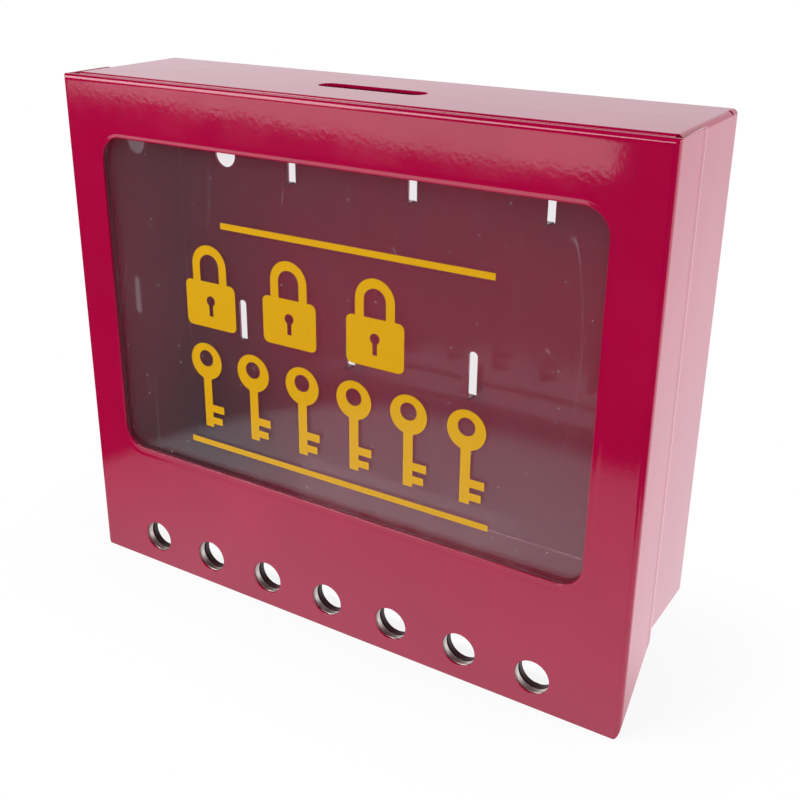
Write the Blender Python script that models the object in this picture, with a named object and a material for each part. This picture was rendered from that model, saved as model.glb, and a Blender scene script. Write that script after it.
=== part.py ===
"""Group lockout box: a folded sheet-steel box whose windowed cover lifts on a continuous hinge.

Metres, +Z up, +X to the right of someone facing the cover, which looks along -Y.
The origin lies on the back panel's outer face, on the vertical centre line.
Depths are measured back from the cover's front, heights up from the cover's bottom edge.
"""

from math import cos, pi, radians, sin

import bmesh
import bpy
from mathutils import Vector

# Sheet, clearances and cuts
sheet = 0.0012
seat_gap = 0.0003
hole_clearance = 0.0003
cut_overrun = 0.002

# Overall form
cover_width = 0.313
cover_height = 0.2663
overall_depth = 0.080
mount_height = 0.170

# Cover
cover_bend_radius = 0.0028
flange_depth = 0.0318
taper_front = 0.0038
taper_rear = 0.0352
return_flat = 0.0006
bend_relief = 0.0006

# Window
window_side_margin = 0.0232
window_top_margin = 0.0284
window_bottom = 0.0697
window_corner_radius = 0.012

# Padlock holes, in line through the cover, the bar and the angle
padlock_hole_diameter = 0.0173
padlock_hole_pitch = 0.0381
padlock_row_height = 0.0164
padlock_row_shift = -0.0011
padlock_end_margin = 0.0335

# Lock bar
bar_thickness = 0.0032
bar_height = 0.028
bar_end_margin = 0.0075

# Pane, gasket and retainer strips
gasket_thickness = 0.0017
gasket_setback = 0.0008
pane_thickness = 0.003
pane_overlap = 0.007
pane_corner_radius = 0.003
strip_thickness = 0.0012
strip_overlap = 0.0044
strip_margin = 0.0032

# Studs and nuts
stud_diameter = 0.0035
stud_offset = 0.0027
stud_tip = 0.001
nut_across_flats = 0.006
nut_thickness = 0.0028
stud_edge_count = 4
stud_side_count = 2
stud_end_margin = 0.020
stud_side_margin = 0.050

# Hinge
pin_diameter = 0.0019
pin_clearance = 0.00025
leaf_thickness = 0.0007
hinge_end_margin = 0.0065
hinge_axis_drop = 0.002
leaf_drop = 0.0123
leaf_neck = 0.0023
crank_height = 0.0022
crank_lead = 0.0004
knuckle_count = 13
knuckle_gap = 0.0004
curl_angle = 285

# Box
box_inset = 0.0021
box_rise = 0.0002
box_bottom = 0.034
box_bend_radius = 0.0025
lip_bend_radius = 0.0018

# Key slot in the box's top
key_slot_length = 0.057
key_slot_width = 0.011
key_slot_depth = 0.0402

# Keyholes in the back panel
keyhole_side_margin = 0.0346
keyhole_drop = 0.0495
keyhole_diameter = 0.0137
keyhole_neck_width = 0.0065
keyhole_neck_rise = 0.0115

# Key hooks, lanced from their slots in the back panel
hook_slot_width = 0.005
hook_slot_length = 0.0254
hook_pitch = 0.0746
hook_upper_drop = 0.0611
hook_lower_rise = 0.0752
hook_width = 0.0038
hook_thickness = 0.001
hook_reach = 0.0086
hook_rise = 0.016
hook_root = 0.0012
hook_lead = 0.0004
hook_bend_radius = 0.0016

# Relief notches near the box's rear top corners
relief_diameter = 0.0024
relief_setback = 0.0085
relief_sink = 0.0022

# Lock angle and its rivets
angle_gap = 0.0008
angle_thickness = 0.0032
angle_bend_radius = 0.0032
angle_bottom = 0.002
angle_leg = 0.024
angle_end_margin = 0.0075
rivet_count = 5
rivet_end_margin = 0.029
rivet_setback = 0.0145
rivet_diameter = 0.004
rivet_head_diameter = 0.0074
rivet_head_height = 0.0012
rivet_tail_diameter = 0.006
rivet_tail_height = 0.0014
rivet_dome_share = 0.6

# A bevel's profile, where a half is round
round_profile_share = 0.5

# Facets along round stretches
bend_count = 4
corner_count = 5
hole_count = 28
slot_count = 6
curl_count = 9
fastener_count = 12
smooth_angle = 35

# Lengths along the cover, and the holes that fit on the bar
bar_length = cover_width - 2 * bar_end_margin
hinge_length = cover_width - 2 * hinge_end_margin
angle_length = cover_width - 2 * angle_end_margin
padlock_hole_count = int((bar_length - 2 * padlock_end_margin) / padlock_hole_pitch) + 1

# Stack behind the cover's front, as depths
cover_back = sheet
seat_depth = cover_back + seat_gap
bar_back = seat_depth + bar_thickness
gasket_back = seat_depth + gasket_thickness
pane_front = gasket_back + seat_gap
pane_back = pane_front + pane_thickness
strip_front = pane_back + seat_gap
strip_back = strip_front + strip_thickness
nut_front = strip_back + seat_gap
stud_back = nut_front + nut_thickness + stud_tip

# Hinge axis and what it sets
bore_radius = pin_diameter / 2 + pin_clearance
knuckle_radius = bore_radius + leaf_thickness
return_end = cover_bend_radius + return_flat
axis_depth = return_end + seat_gap + knuckle_radius
axis_height = cover_height - hinge_axis_drop
lip_front = axis_depth + knuckle_radius + seat_gap
lip_height = axis_height - leaf_drop

# Box faces
box_width = cover_width - 2 * box_inset
box_top = cover_height + box_rise
box_front = lip_front + lip_bend_radius
panel_front = overall_depth - sheet

# Places on the back panel
keyhole_spacing = box_width - 2 * keyhole_side_margin
keyhole_height = box_top - keyhole_drop
hook_upper_height = box_top - hook_upper_drop
hook_lower_height = box_bottom + hook_lower_rise

# Window, pane and stud outlines, as half widths and heights
window_half = cover_width / 2 - window_side_margin
window_top = cover_height - window_top_margin
pane_half = window_half + pane_overlap
pane_bottom = window_bottom - pane_overlap
pane_top = window_top + pane_overlap
stud_half = pane_half + stud_offset
stud_bottom = pane_bottom - stud_offset
stud_top = pane_top + stud_offset
strip_half = stud_half + strip_margin

# Lock angle faces
angle_front = bar_back + angle_gap
angle_top = box_bottom - seat_gap
rivet_depth = angle_front + rivet_setback

# Turns that stand a local XY outline up
facing_front = (pi / 2, 0, 0)
along_x = (pi / 2, 0, pi / 2)

# Finishes as sRGB colour, roughness and metallic value
red_paint = ("a00137", 0.3, 0.0)
bare_steel = ("c4c5c7", 0.32, 1.0)
plated_steel = ("b9babd", 0.35, 1.0)
clear_plastic = ("e6dfe2", 0.08, 0.0)
dark_foam = ("2a2224", 0.9, 0.0)


def linear(level):
    """Turn one sRGB level from 0 to 1 into a linear one."""
    return level / 12.92 if level <= 0.04045 else ((level + 0.055) / 1.055) ** 2.4


def make_material(name, finish):
    """Make a Principled material of one finish."""
    colour, roughness, metallic = finish
    levels = [linear(int(colour[place:place + 2], 16) / 255) for place in (0, 2, 4)]
    material = bpy.data.materials.new(name)
    material.use_nodes = True
    shader = material.node_tree.nodes["Principled BSDF"]
    shader.inputs["Base Color"].default_value = (*levels, 1)
    shader.inputs["Roughness"].default_value = roughness
    shader.inputs["Metallic"].default_value = metallic
    material.diffuse_color = (*levels, 1)
    return material


def world(x, depth, height):
    """Turn a depth and a height into a place in the part's frame."""
    return Vector((x, depth - overall_depth, height - mount_height))


def mesh_data(name, mesh, finish):
    """Turn a bmesh into mesh data with its own material."""
    bmesh.ops.recalc_face_normals(mesh, faces=mesh.faces)
    data = bpy.data.meshes.new(name)
    mesh.to_mesh(data)
    mesh.free()
    data.shade_smooth()
    data.set_sharp_from_angle(angle=radians(smooth_angle))
    if finish is not None:
        data.materials.append(make_material(name + "_finish", finish))
    return data


def place_object(name, data, place, turn=(0, 0, 0), parent=None):
    """Stand one named object in its place."""
    part = bpy.data.objects.new(name, data)
    bpy.context.scene.collection.objects.link(part)
    part.rotation_euler = turn
    part.location = place
    if parent is not None:
        part.parent = parent
        part.location = place - parent.location
    return part


def add_object(name, mesh, finish, place, turn=(0, 0, 0), parent=None):
    """Make one named object from a bmesh."""
    return place_object(name, mesh_data(name, mesh, finish), place, turn, parent)


def add_cutter(name, mesh, place, turn=(0, 0, 0)):
    """Make a guide object that only cuts or joins, and never shows."""
    cutter = add_object(name, mesh, None, place, turn)
    cutter.hide_render = True
    cutter.display_type = "WIRE"
    return cutter


def add_boolean(part, guide, operation):
    """Cut a guide from a part, or join it on."""
    modifier = part.modifiers.new(guide.name, "BOOLEAN")
    modifier.operation = operation
    modifier.solver = "EXACT"
    modifier.object = guide


def fold_thickness(part):
    """Give a folded surface its sheet thickness, on its inner side."""
    modifier = part.modifiers.new("sheet", "SOLIDIFY")
    modifier.thickness = sheet
    modifier.offset = -1
    modifier.use_even_offset = True


def arc(centre, radius, start, end, steps):
    """Points along an arc, both ends included, with angles in degrees."""
    points = []
    for step in range(steps + 1):
        angle = radians(start + (end - start) * step / steps)
        points.append((centre[0] + radius * cos(angle), centre[1] + radius * sin(angle)))
    return points


def circle(centre, diameter, sides):
    """Points of a full circle."""
    return arc(centre, diameter / 2, 0, 360, sides)[:-1]


def rounded_rectangle(left, bottom, right, top, radius, steps):
    """Outline of a rectangle with round corners."""
    points = arc((left + radius, bottom + radius), radius, 180, 270, steps)
    points += arc((right - radius, bottom + radius), radius, 270, 360, steps)
    points += arc((right - radius, top - radius), radius, 0, 90, steps)
    points += arc((left + radius, top - radius), radius, 90, 180, steps)
    return points


def rectangle(left, bottom, right, top):
    """Outline of a plain rectangle."""
    return [(left, bottom), (right, bottom), (right, top), (left, top)]


def upright_slot(centre, bottom, width, length, steps):
    """Outline of an upright slot with round ends."""
    radius = width / 2
    points = arc((centre, bottom + length - radius), radius, 0, 180, steps)
    return points + arc((centre, bottom + radius), radius, 180, 360, steps)


def level_slot(centre, width, length, steps):
    """Outline of a level slot with round ends."""
    radius = width / 2
    reach = length / 2 - radius
    points = arc((centre[0] + reach, centre[1]), radius, -90, 90, steps)
    return points + arc((centre[0] - reach, centre[1]), radius, 90, 270, steps)


def strip_outline(path, thickness):
    """Outline of a strip of even thickness along a path of points."""
    points = [Vector(point) for point in path]
    runs = [(after - before).normalized() for before, after in zip(points, points[1:])]
    near = []
    far = []
    for index, point in enumerate(points):
        before = runs[max(index - 1, 0)]
        after = runs[min(index, len(runs) - 1)]
        tangent = (before + after).normalized()
        normal = Vector((-tangent.y, tangent.x))
        offset = normal * (thickness / 2) / tangent.dot(before)
        near.append(point + offset)
        far.append(point - offset)
    return near + far[::-1]


def add_loop(mesh, points):
    """Add a closed loop of vertices and edges in the local XY plane."""
    ring = [mesh.verts.new((point[0], point[1], 0)) for point in points]
    return [mesh.edges.new((ring[index - 1], vertex)) for index, vertex in enumerate(ring)]


def add_plate(mesh, outline, holes, thickness, start=0):
    """Add a flat plate whose outline lies in XY and whose thickness runs along +Z."""
    edges = add_loop(mesh, outline)
    for hole in holes:
        edges += add_loop(mesh, hole)
    filled = bmesh.ops.triangle_fill(mesh, edges=edges, use_beauty=True)["geom"]
    faces = [item for item in filled if isinstance(item, bmesh.types.BMFace)]
    lower = {vertex for face in faces for vertex in face.verts}
    grown = bmesh.ops.extrude_face_region(mesh, geom=faces, use_keep_orig=True)["geom"]
    upper = [item for item in grown if isinstance(item, bmesh.types.BMVert)]
    bmesh.ops.translate(mesh, verts=list(lower), vec=(0, 0, start))
    bmesh.ops.translate(mesh, verts=upper, vec=(0, 0, start + thickness))


def add_turned(mesh, profile, sides):
    """Add a solid turned about Z from a profile of radii and heights, with a flat cap at both ends."""
    rings = []
    for radius, height in profile:
        rings.append([mesh.verts.new((x, y, height)) for x, y in circle((0, 0), 2 * radius, sides)])
    for lower, upper in zip(rings, rings[1:]):
        for side in range(sides):
            mesh.faces.new((lower[side - 1], lower[side], upper[side], upper[side - 1]))
    mesh.faces.new(rings[0])
    mesh.faces.new(rings[-1])


def plate_object(name, outline, holes, front, thickness, finish, parent):
    """Make one plate that faces the front, from the depth of its front face."""
    mesh = bmesh.new()
    add_plate(mesh, outline, holes, thickness)
    return add_object(name, mesh, finish, world(0, front + thickness, 0), facing_front, parent)


def padlock_centres():
    """Centres of the padlock holes, from left to right."""
    first = padlock_row_shift - padlock_hole_pitch * (padlock_hole_count - 1) / 2
    return [(first + padlock_hole_pitch * index, padlock_row_height) for index in range(padlock_hole_count)]


def padlock_holes():
    """Outlines of the padlock holes."""
    return [circle(centre, padlock_hole_diameter, hole_count) for centre in padlock_centres()]


def window_outline(growth=0):
    """Outline of the window, or of one grown evenly."""
    half = window_half + growth
    radius = window_corner_radius + growth
    return rounded_rectangle(-half, window_bottom - growth, half, window_top + growth, radius, corner_count)


def pane_outline():
    """Outline that the gasket and the pane share."""
    return rounded_rectangle(-pane_half, pane_bottom, pane_half, pane_top, pane_corner_radius, corner_count)


def spread(reach, count):
    """Places spread evenly from minus reach to plus reach."""
    return [-reach + 2 * reach * index / (count - 1) for index in range(count)]


def stud_rows():
    """Stud centres of the bottom, top, left and right strips."""
    middle = (stud_bottom + stud_top) / 2
    level = spread(stud_half - stud_end_margin, stud_edge_count)
    upright = spread(middle - stud_bottom - stud_side_margin, stud_side_count)
    return {
        "retainer_bottom": [(x, stud_bottom) for x in level],
        "retainer_top": [(x, stud_top) for x in level],
        "retainer_left": [(-stud_half, middle + rise) for rise in upright],
        "retainer_right": [(stud_half, middle + rise) for rise in upright],
    }


def stud_centres():
    """All stud centres."""
    return [centre for row in stud_rows().values() for centre in row]


def rivet_centres():
    """Centres of the lock angle's rivets, across and in depth."""
    return [(x, rivet_depth) for x in spread(angle_length / 2 - rivet_end_margin, rivet_count)]


# Cover


def taper_height(depth):
    """Height of a side flange's lower edge at a depth: steep around the fold, then a straight taper."""
    rise = (taper_rear - taper_front) / flange_depth
    if depth >= cover_bend_radius:
        return taper_front + rise * depth
    return (taper_front + rise * cover_bend_radius) * depth / cover_bend_radius


def cover_outline():
    """The flat front panel's outline, whose last points on the right start the folds."""
    flat = cover_width / 2 - cover_bend_radius
    fold_top = cover_height - cover_bend_radius
    side = [
        (flat, 0),
        (flat, fold_top - bend_relief),
        (flat - bend_relief, fold_top - bend_relief),
        (flat - bend_relief, fold_top),
    ]
    return side, side + [(-x, height) for x, height in reversed(side)]


def fold_side(mesh, lower, upper):
    """Fold a side flange back from the panel's edge between two vertices."""
    side = 1 if lower.co.x > 0 else -1
    for step in range(1, bend_count + 1):
        angle = radians(90) * step / bend_count
        depth = cover_bend_radius * (1 - cos(angle))
        x = side * (cover_width / 2 - cover_bend_radius + cover_bend_radius * sin(angle))
        next_lower = mesh.verts.new((x, depth, taper_height(depth)))
        next_upper = mesh.verts.new((x, depth, upper.co.z))
        mesh.faces.new((lower, next_lower, next_upper, upper))
        lower = next_lower
        upper = next_upper
    rear_lower = mesh.verts.new((lower.co.x, flange_depth, taper_rear))
    rear_upper = mesh.verts.new((lower.co.x, flange_depth, cover_height))
    front_upper = mesh.verts.new((lower.co.x, cover_bend_radius, cover_height))
    mesh.faces.new((lower, rear_lower, rear_upper, front_upper, upper))


def fold_top(mesh, left, right):
    """Fold the short top return back from the panel's top edge."""
    turns = [(cover_bend_radius * (1 - cos(radians(90) * step / bend_count)),
              cover_height - cover_bend_radius + cover_bend_radius * sin(radians(90) * step / bend_count))
             for step in range(1, bend_count + 1)]
    for depth, height in turns + [(return_end, cover_height)]:
        next_left = mesh.verts.new((left.co.x, depth, height))
        next_right = mesh.verts.new((right.co.x, depth, height))
        mesh.faces.new((left, right, next_right, next_left))
        left = next_left
        right = next_right


def build_cover(parent):
    """Folded cover with its window and padlock holes."""
    side, outline = cover_outline()
    mesh = bmesh.new()
    edges = []
    for loop in [outline, window_outline(), *padlock_holes()]:
        edges += add_loop(mesh, loop)
    bmesh.ops.triangle_fill(mesh, edges=edges, use_beauty=True)
    mesh.verts.ensure_lookup_table()
    corners = list(mesh.verts)[:len(outline)]
    named = dict(zip(outline, corners))
    for vertex in mesh.verts:
        vertex.co = (vertex.co.x, 0, vertex.co.y)
    for hand in (1, -1):
        lower, upper, _, corner = [named[(hand * x, height)] for x, height in side]
        fold_side(mesh, lower, upper)
    fold_top(mesh, corner, named[side[-1]])
    cover = add_object("cover", mesh, red_paint, world(0, 0, 0), parent=parent)
    fold_thickness(cover)


def build_lock_bar(parent):
    """Bare bar behind the cover's padlock holes."""
    low = padlock_row_height - bar_height / 2
    outline = rectangle(-bar_length / 2, low, bar_length / 2, low + bar_height)
    plate_object("lock_bar", outline, padlock_holes(), seat_depth, bar_thickness, bare_steel, parent)


# Window pane and what clamps it


def build_gasket(parent):
    """Foam frame between the cover and the pane."""
    opening = window_outline(gasket_setback)
    plate_object("window_gasket", pane_outline(), [opening], seat_depth, gasket_thickness, dark_foam, parent)


def build_pane(parent):
    """Clear window pane."""
    plate_object("window_pane", pane_outline(), [], pane_front, pane_thickness, clear_plastic, parent)


def strip_rectangles():
    """Outlines of the four retainer strips: the level ones run full width, the upright ones between."""
    inner_bottom = pane_bottom + strip_overlap
    inner_top = pane_top - strip_overlap
    inner_half = pane_half - strip_overlap
    return {
        "retainer_bottom": rectangle(-strip_half, stud_bottom - strip_margin, strip_half, inner_bottom),
        "retainer_top": rectangle(-strip_half, inner_top, strip_half, stud_top + strip_margin),
        "retainer_left": rectangle(-strip_half, inner_bottom + seat_gap, -inner_half, inner_top - seat_gap),
        "retainer_right": rectangle(inner_half, inner_bottom + seat_gap, strip_half, inner_top - seat_gap),
    }


def build_retainers(parent):
    """Flat strips that clamp the pane, with a hole at each stud."""
    rows = stud_rows()
    for name, outline in strip_rectangles().items():
        bore = stud_diameter + 2 * hole_clearance
        holes = [circle(centre, bore, fastener_count) for centre in rows[name]]
        plate_object(name, outline, holes, strip_front, strip_thickness, plated_steel, parent)


def build_studs(parent):
    """Studs that stand on the cover's back."""
    mesh = bmesh.new()
    add_plate(mesh, circle((0, 0), stud_diameter, fastener_count), [], stud_back - seat_depth)
    data = mesh_data("retainer_stud", mesh, plated_steel)
    for number, (x, height) in enumerate(stud_centres(), 1):
        place_object(f"retainer_stud_{number:02d}", data, world(x, stud_back, height), facing_front, parent)


def build_nuts(parent):
    """Hex nuts, with a flat up."""
    mesh = bmesh.new()
    across_corners = nut_across_flats / cos(radians(30))
    bore = stud_diameter + 2 * hole_clearance
    add_plate(mesh, circle((0, 0), across_corners, 6), [circle((0, 0), bore, fastener_count)], nut_thickness)
    data = mesh_data("retainer_nut", mesh, plated_steel)
    for number, (x, height) in enumerate(stud_centres(), 1):
        place = world(x, nut_front + nut_thickness, height)
        place_object(f"retainer_nut_{number:02d}", data, place, facing_front, parent)


# Continuous hinge


def curl_points():
    """A knuckle's rolled section on the front side of the axis, from its outer to its inner start."""
    outer = arc((0, 0), knuckle_radius, 180, 180 - curl_angle, curl_count)
    inner = arc((0, 0), bore_radius, 180 - curl_angle, 180, curl_count)
    return outer + inner


def knuckle_spans(first):
    """Stretches along the hinge that every second knuckle takes up."""
    pitch = hinge_length / knuckle_count
    starts = [pitch * index for index in range(first, knuckle_count, 2)]
    return [(start + knuckle_gap / 2, start + pitch - knuckle_gap / 2) for start in starts]


def add_knuckled_leaf(mesh, leaf, curl, spans):
    """Add a hinge leaf along +Z, with its rolled knuckles on the edge from its last to its first point."""
    stations = sorted({0, hinge_length, *(end for span in spans for end in span)})
    rings = [[mesh.verts.new((*point, station)) for point in leaf] for station in stations]
    for near, far, start, end in zip(rings, rings[1:], stations, stations[1:]):
        for index in range(1, len(leaf)):
            mesh.faces.new((near[index - 1], near[index], far[index], far[index - 1]))
        if (start, end) not in spans:
            mesh.faces.new((near[-1], near[0], far[0], far[-1]))
            continue
        near_curl = [near[-1], *(mesh.verts.new((*point, start)) for point in curl), near[0]]
        far_curl = [far[-1], *(mesh.verts.new((*point, end)) for point in curl), far[0]]
        for index in range(1, len(near_curl)):
            mesh.faces.new((near_curl[index - 1], near_curl[index], far_curl[index], far_curl[index - 1]))
        mesh.faces.new(near_curl)
        mesh.faces.new(far_curl)
    mesh.faces.new(rings[0])
    mesh.faces.new(rings[-1])


def build_leaf(name, path, side, spans, parent):
    """Make one hinge leaf from its path below the axis, drawn on the front side."""
    mesh = bmesh.new()
    leaf = [(side * x, y) for x, y in strip_outline(path, leaf_thickness)]
    curl = [(side * x, y) for x, y in curl_points()]
    add_knuckled_leaf(mesh, leaf, curl, spans)
    add_object(name, mesh, red_paint, world(-hinge_length / 2, axis_depth, axis_height), along_x, parent)


def build_hinge(cover_parent):
    """Two rolled leaves and the pin between them."""
    wall = (knuckle_radius + bore_radius) / 2
    seat = axis_depth - seat_depth - leaf_thickness / 2
    crank_top = leaf_neck + crank_lead
    crank_path = [(-wall, -leaf_neck), (-wall, -crank_top), (-seat, -crank_top - crank_height), (-seat, -leaf_drop)]
    straight_path = [(-wall, -leaf_neck), (-wall, -leaf_drop)]
    build_leaf("hinge_leaf_cover", crank_path, 1, knuckle_spans(1), cover_parent)
    build_leaf("hinge_leaf_base", straight_path, -1, knuckle_spans(0), None)
    mesh = bmesh.new()
    add_plate(mesh, circle((0, 0), pin_diameter, fastener_count), [], hinge_length)
    add_object("hinge_pin", mesh, plated_steel, world(-hinge_length / 2, axis_depth, axis_height), along_x)


# Box


def hook_places():
    """Centre and slot bottom of each key hook: three above, four below."""
    upper = [(x, hook_upper_height) for x in spread(hook_pitch, 3)]
    return upper + [(x, hook_lower_height) for x in spread(hook_pitch * 3 / 2, 4)]


def hook_path():
    """Middle line of a hook, seen from the side, from its root in the slot's bottom edge to its tip."""
    radius = hook_bend_radius
    path = [(0, -hook_root)]
    path += arc((-radius, hook_lead), radius, 0, 90, bend_count)
    path += arc((radius - hook_reach, hook_lead + 2 * radius), radius, 270, 180, bend_count)
    return path + [(-hook_reach, hook_rise)]


def hook_guide():
    """The seven hooks, to be joined to the back panel."""
    mesh = bmesh.new()
    for x, height in hook_places():
        outline = [(point[0], point[1] + height) for point in strip_outline(hook_path(), hook_thickness)]
        add_plate(mesh, outline, [], hook_width, x - hook_width / 2)
    middle = panel_front + sheet / 2
    return add_cutter("hook_guide", mesh, world(0, middle, 0), along_x)


def back_panel_cutter():
    """Hook slots and keyholes."""
    mesh = bmesh.new()
    thickness = sheet + 2 * cut_overrun
    for x, height in hook_places():
        add_plate(mesh, upright_slot(x, height, hook_slot_width, hook_slot_length, slot_count), [], thickness)
    for x in spread(keyhole_spacing / 2, 2):
        add_plate(mesh, keyhole_outline(x), [], thickness)
    return add_cutter("back_panel_cutter", mesh, world(0, overall_depth + cut_overrun, 0), facing_front)


def keyhole_outline(x):
    """A round entry with a narrower neck above it."""
    entry = keyhole_diameter / 2
    neck = keyhole_neck_width / 2
    meet = (entry ** 2 - neck ** 2) ** 0.5
    start = Vector((1, 0)).angle(Vector((neck, meet))) * 180 / pi
    points = arc((x, keyhole_height), entry, 180 - start, 360 + start, 3 * slot_count)
    return points + arc((x, keyhole_height + keyhole_neck_rise), neck, 0, 180, slot_count)


def box_top_cutter():
    """Key slot and the two relief notches, cut down through the top."""
    mesh = bmesh.new()
    lift = box_top + cut_overrun
    add_plate(mesh, level_slot((0, key_slot_depth), key_slot_width, key_slot_length, slot_count), [],
              sheet + 2 * cut_overrun, lift - sheet - 2 * cut_overrun)
    for x in spread(box_width / 2 - sheet, 2):
        outline = circle((x, overall_depth - relief_setback), relief_diameter, fastener_count)
        add_plate(mesh, outline, [], relief_sink + cut_overrun, box_top - relief_sink)
    return add_cutter("box_top_cutter", mesh, world(0, 0, 0))


def rivet_cutter():
    """Rivet holes through the box's bottom and the lock angle."""
    mesh = bmesh.new()
    low = angle_top - angle_thickness - cut_overrun
    high = box_bottom + sheet + cut_overrun
    for centre in rivet_centres():
        outline = circle(centre, rivet_diameter + 2 * hole_clearance, fastener_count)
        add_plate(mesh, outline, [], high - low, low)
    return add_cutter("rivet_cutter", mesh, world(0, 0, 0))


def fold_lip(mesh):
    """Fold the top's front edge down, in front of which the hinge sits."""
    edges = [edge for edge in mesh.edges if edge.is_boundary]
    edge = max(edges, key=lambda item: (item.verts[0].co.z + item.verts[1].co.z, item.calc_length()))
    profile = arc((box_front, box_top - lip_bend_radius), lip_bend_radius, 90, 180, bend_count)[1:]
    for depth, height in profile + [(lip_front, lip_height)]:
        grown = bmesh.ops.extrude_edge_only(mesh, edges=[edge])["geom"]
        for vertex in [item for item in grown if isinstance(item, bmesh.types.BMVert)]:
            vertex.co = (vertex.co.x, depth, height)
        edge = next(item for item in grown if isinstance(item, bmesh.types.BMEdge))


def build_box(rivet_holes):
    """Folded box, open at the front, with its lip, slot, keyholes and hooks."""
    mesh = bmesh.new()
    bmesh.ops.create_cube(mesh, size=1)
    size = Vector((box_width, overall_depth - box_front, box_top - box_bottom))
    middle = Vector((0, (overall_depth + box_front) / 2, (box_top + box_bottom) / 2))
    for vertex in mesh.verts:
        vertex.co = vertex.co * size + middle
    mesh.normal_update()
    front = min(mesh.faces, key=lambda face: face.calc_center_median().y)
    bmesh.ops.delete(mesh, geom=[front], context="FACES_ONLY")
    folds = [edge for edge in mesh.edges if not edge.is_boundary]
    bmesh.ops.bevel(mesh, geom=folds, offset=box_bend_radius, offset_type="OFFSET", segments=bend_count,
                    profile=round_profile_share, affect="EDGES")
    fold_lip(mesh)
    box = add_object("base_box", mesh, red_paint, world(0, 0, 0))
    fold_thickness(box)
    for cutter in (back_panel_cutter(), box_top_cutter(), rivet_holes):
        add_boolean(box, cutter, "DIFFERENCE")
    add_boolean(box, hook_guide(), "UNION")


# Lock angle


def padlock_cutter():
    """Padlock holes through the lock angle."""
    mesh = bmesh.new()
    for outline in padlock_holes():
        add_plate(mesh, outline, [], angle_thickness + 2 * cut_overrun)
    return add_cutter("padlock_cutter", mesh, world(0, angle_front + angle_thickness + cut_overrun, 0), facing_front)


def build_lock_angle(rivet_holes):
    """Angle under the box, with holes in line with the cover's."""
    middle = angle_thickness / 2
    radius = angle_bend_radius
    corner = (angle_front + middle + radius, angle_top - middle - radius)
    path = [(angle_front + middle, angle_bottom)]
    path += arc(corner, radius, 180, 90, bend_count)
    path += [(angle_front + angle_leg, angle_top - middle)]
    mesh = bmesh.new()
    add_plate(mesh, strip_outline(path, angle_thickness), [], angle_length)
    angle = add_object("lock_angle", mesh, red_paint, world(-angle_length / 2, 0, 0), along_x)
    add_boolean(angle, padlock_cutter(), "DIFFERENCE")
    add_boolean(angle, rivet_holes, "DIFFERENCE")


def build_rivets():
    """Rivets from the lock angle up into the box."""
    head_top = angle_top - angle_thickness - seat_gap
    head_bottom = head_top - rivet_head_height
    tail_bottom = box_bottom + sheet + seat_gap
    tail_top = tail_bottom + rivet_tail_height
    head = rivet_head_diameter / 2
    shank = rivet_diameter / 2
    tail = rivet_tail_diameter / 2
    profile = [
        (head * rivet_dome_share, head_bottom),
        (head, head_top - rivet_head_height * rivet_dome_share),
        (head, head_top),
        (shank, head_top),
        (shank, tail_bottom),
        (tail, tail_bottom),
        (tail, tail_top),
    ]
    mesh = bmesh.new()
    add_turned(mesh, profile, fastener_count)
    data = mesh_data("lock_angle_rivet", mesh, plated_steel)
    for number, (x, depth) in enumerate(rivet_centres(), 1):
        place_object(f"lock_angle_rivet_{number}", data, world(x, depth, 0))


def clear_scene():
    """Remove whatever the scene holds."""
    for item in list(bpy.data.objects):
        bpy.data.objects.remove(item, do_unlink=True)


def main():
    clear_scene()
    axis = bpy.data.objects.new("cover_hinge_axis", None)
    bpy.context.scene.collection.objects.link(axis)
    axis.location = world(0, axis_depth, axis_height)
    build_cover(axis)
    build_lock_bar(axis)
    build_gasket(axis)
    build_pane(axis)
    build_retainers(axis)
    build_studs(axis)
    build_nuts(axis)
    build_hinge(axis)
    rivet_holes = rivet_cutter()
    build_box(rivet_holes)
    build_lock_angle(rivet_holes)
    build_rivets()


main()
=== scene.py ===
"""Dressed group lockout box: gloss red folded steel, a clear pane with yellow print, hinge, hooks, fasteners.

Metres, in the frame of the packed model: the cover looks along -Y and +Z is up.
Depths are measured back from the cover's front, heights up from the cover's bottom edge.
"""

from math import cos, degrees, pi, radians, sin, tan

import bmesh
import bpy
from bpy.props import FloatProperty, FloatVectorProperty, IntProperty, PointerProperty
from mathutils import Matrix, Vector


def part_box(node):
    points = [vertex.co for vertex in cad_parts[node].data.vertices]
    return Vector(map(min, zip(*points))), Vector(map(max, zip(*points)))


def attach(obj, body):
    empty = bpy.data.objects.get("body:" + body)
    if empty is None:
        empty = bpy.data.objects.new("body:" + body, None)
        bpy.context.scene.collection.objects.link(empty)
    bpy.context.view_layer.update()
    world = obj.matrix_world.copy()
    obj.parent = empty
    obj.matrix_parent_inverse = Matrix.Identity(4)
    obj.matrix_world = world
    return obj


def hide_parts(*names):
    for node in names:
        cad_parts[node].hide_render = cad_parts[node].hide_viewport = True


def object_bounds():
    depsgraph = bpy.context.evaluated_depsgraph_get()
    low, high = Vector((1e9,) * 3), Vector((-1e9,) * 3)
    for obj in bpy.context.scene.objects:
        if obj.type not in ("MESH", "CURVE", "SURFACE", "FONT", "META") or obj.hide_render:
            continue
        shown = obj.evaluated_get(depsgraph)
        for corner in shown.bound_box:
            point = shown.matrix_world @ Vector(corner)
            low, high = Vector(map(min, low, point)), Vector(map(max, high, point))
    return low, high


bl_info = {
    "name": "Group lockout box",
    "version": (1, 0, 0),
    "blender": (4, 5, 0),
    "location": "View3D > Sidebar > Lockout box",
    "description": "Builds the visible pieces, finishes and studio of a group lockout box",
    "category": "Object",
}

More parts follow.
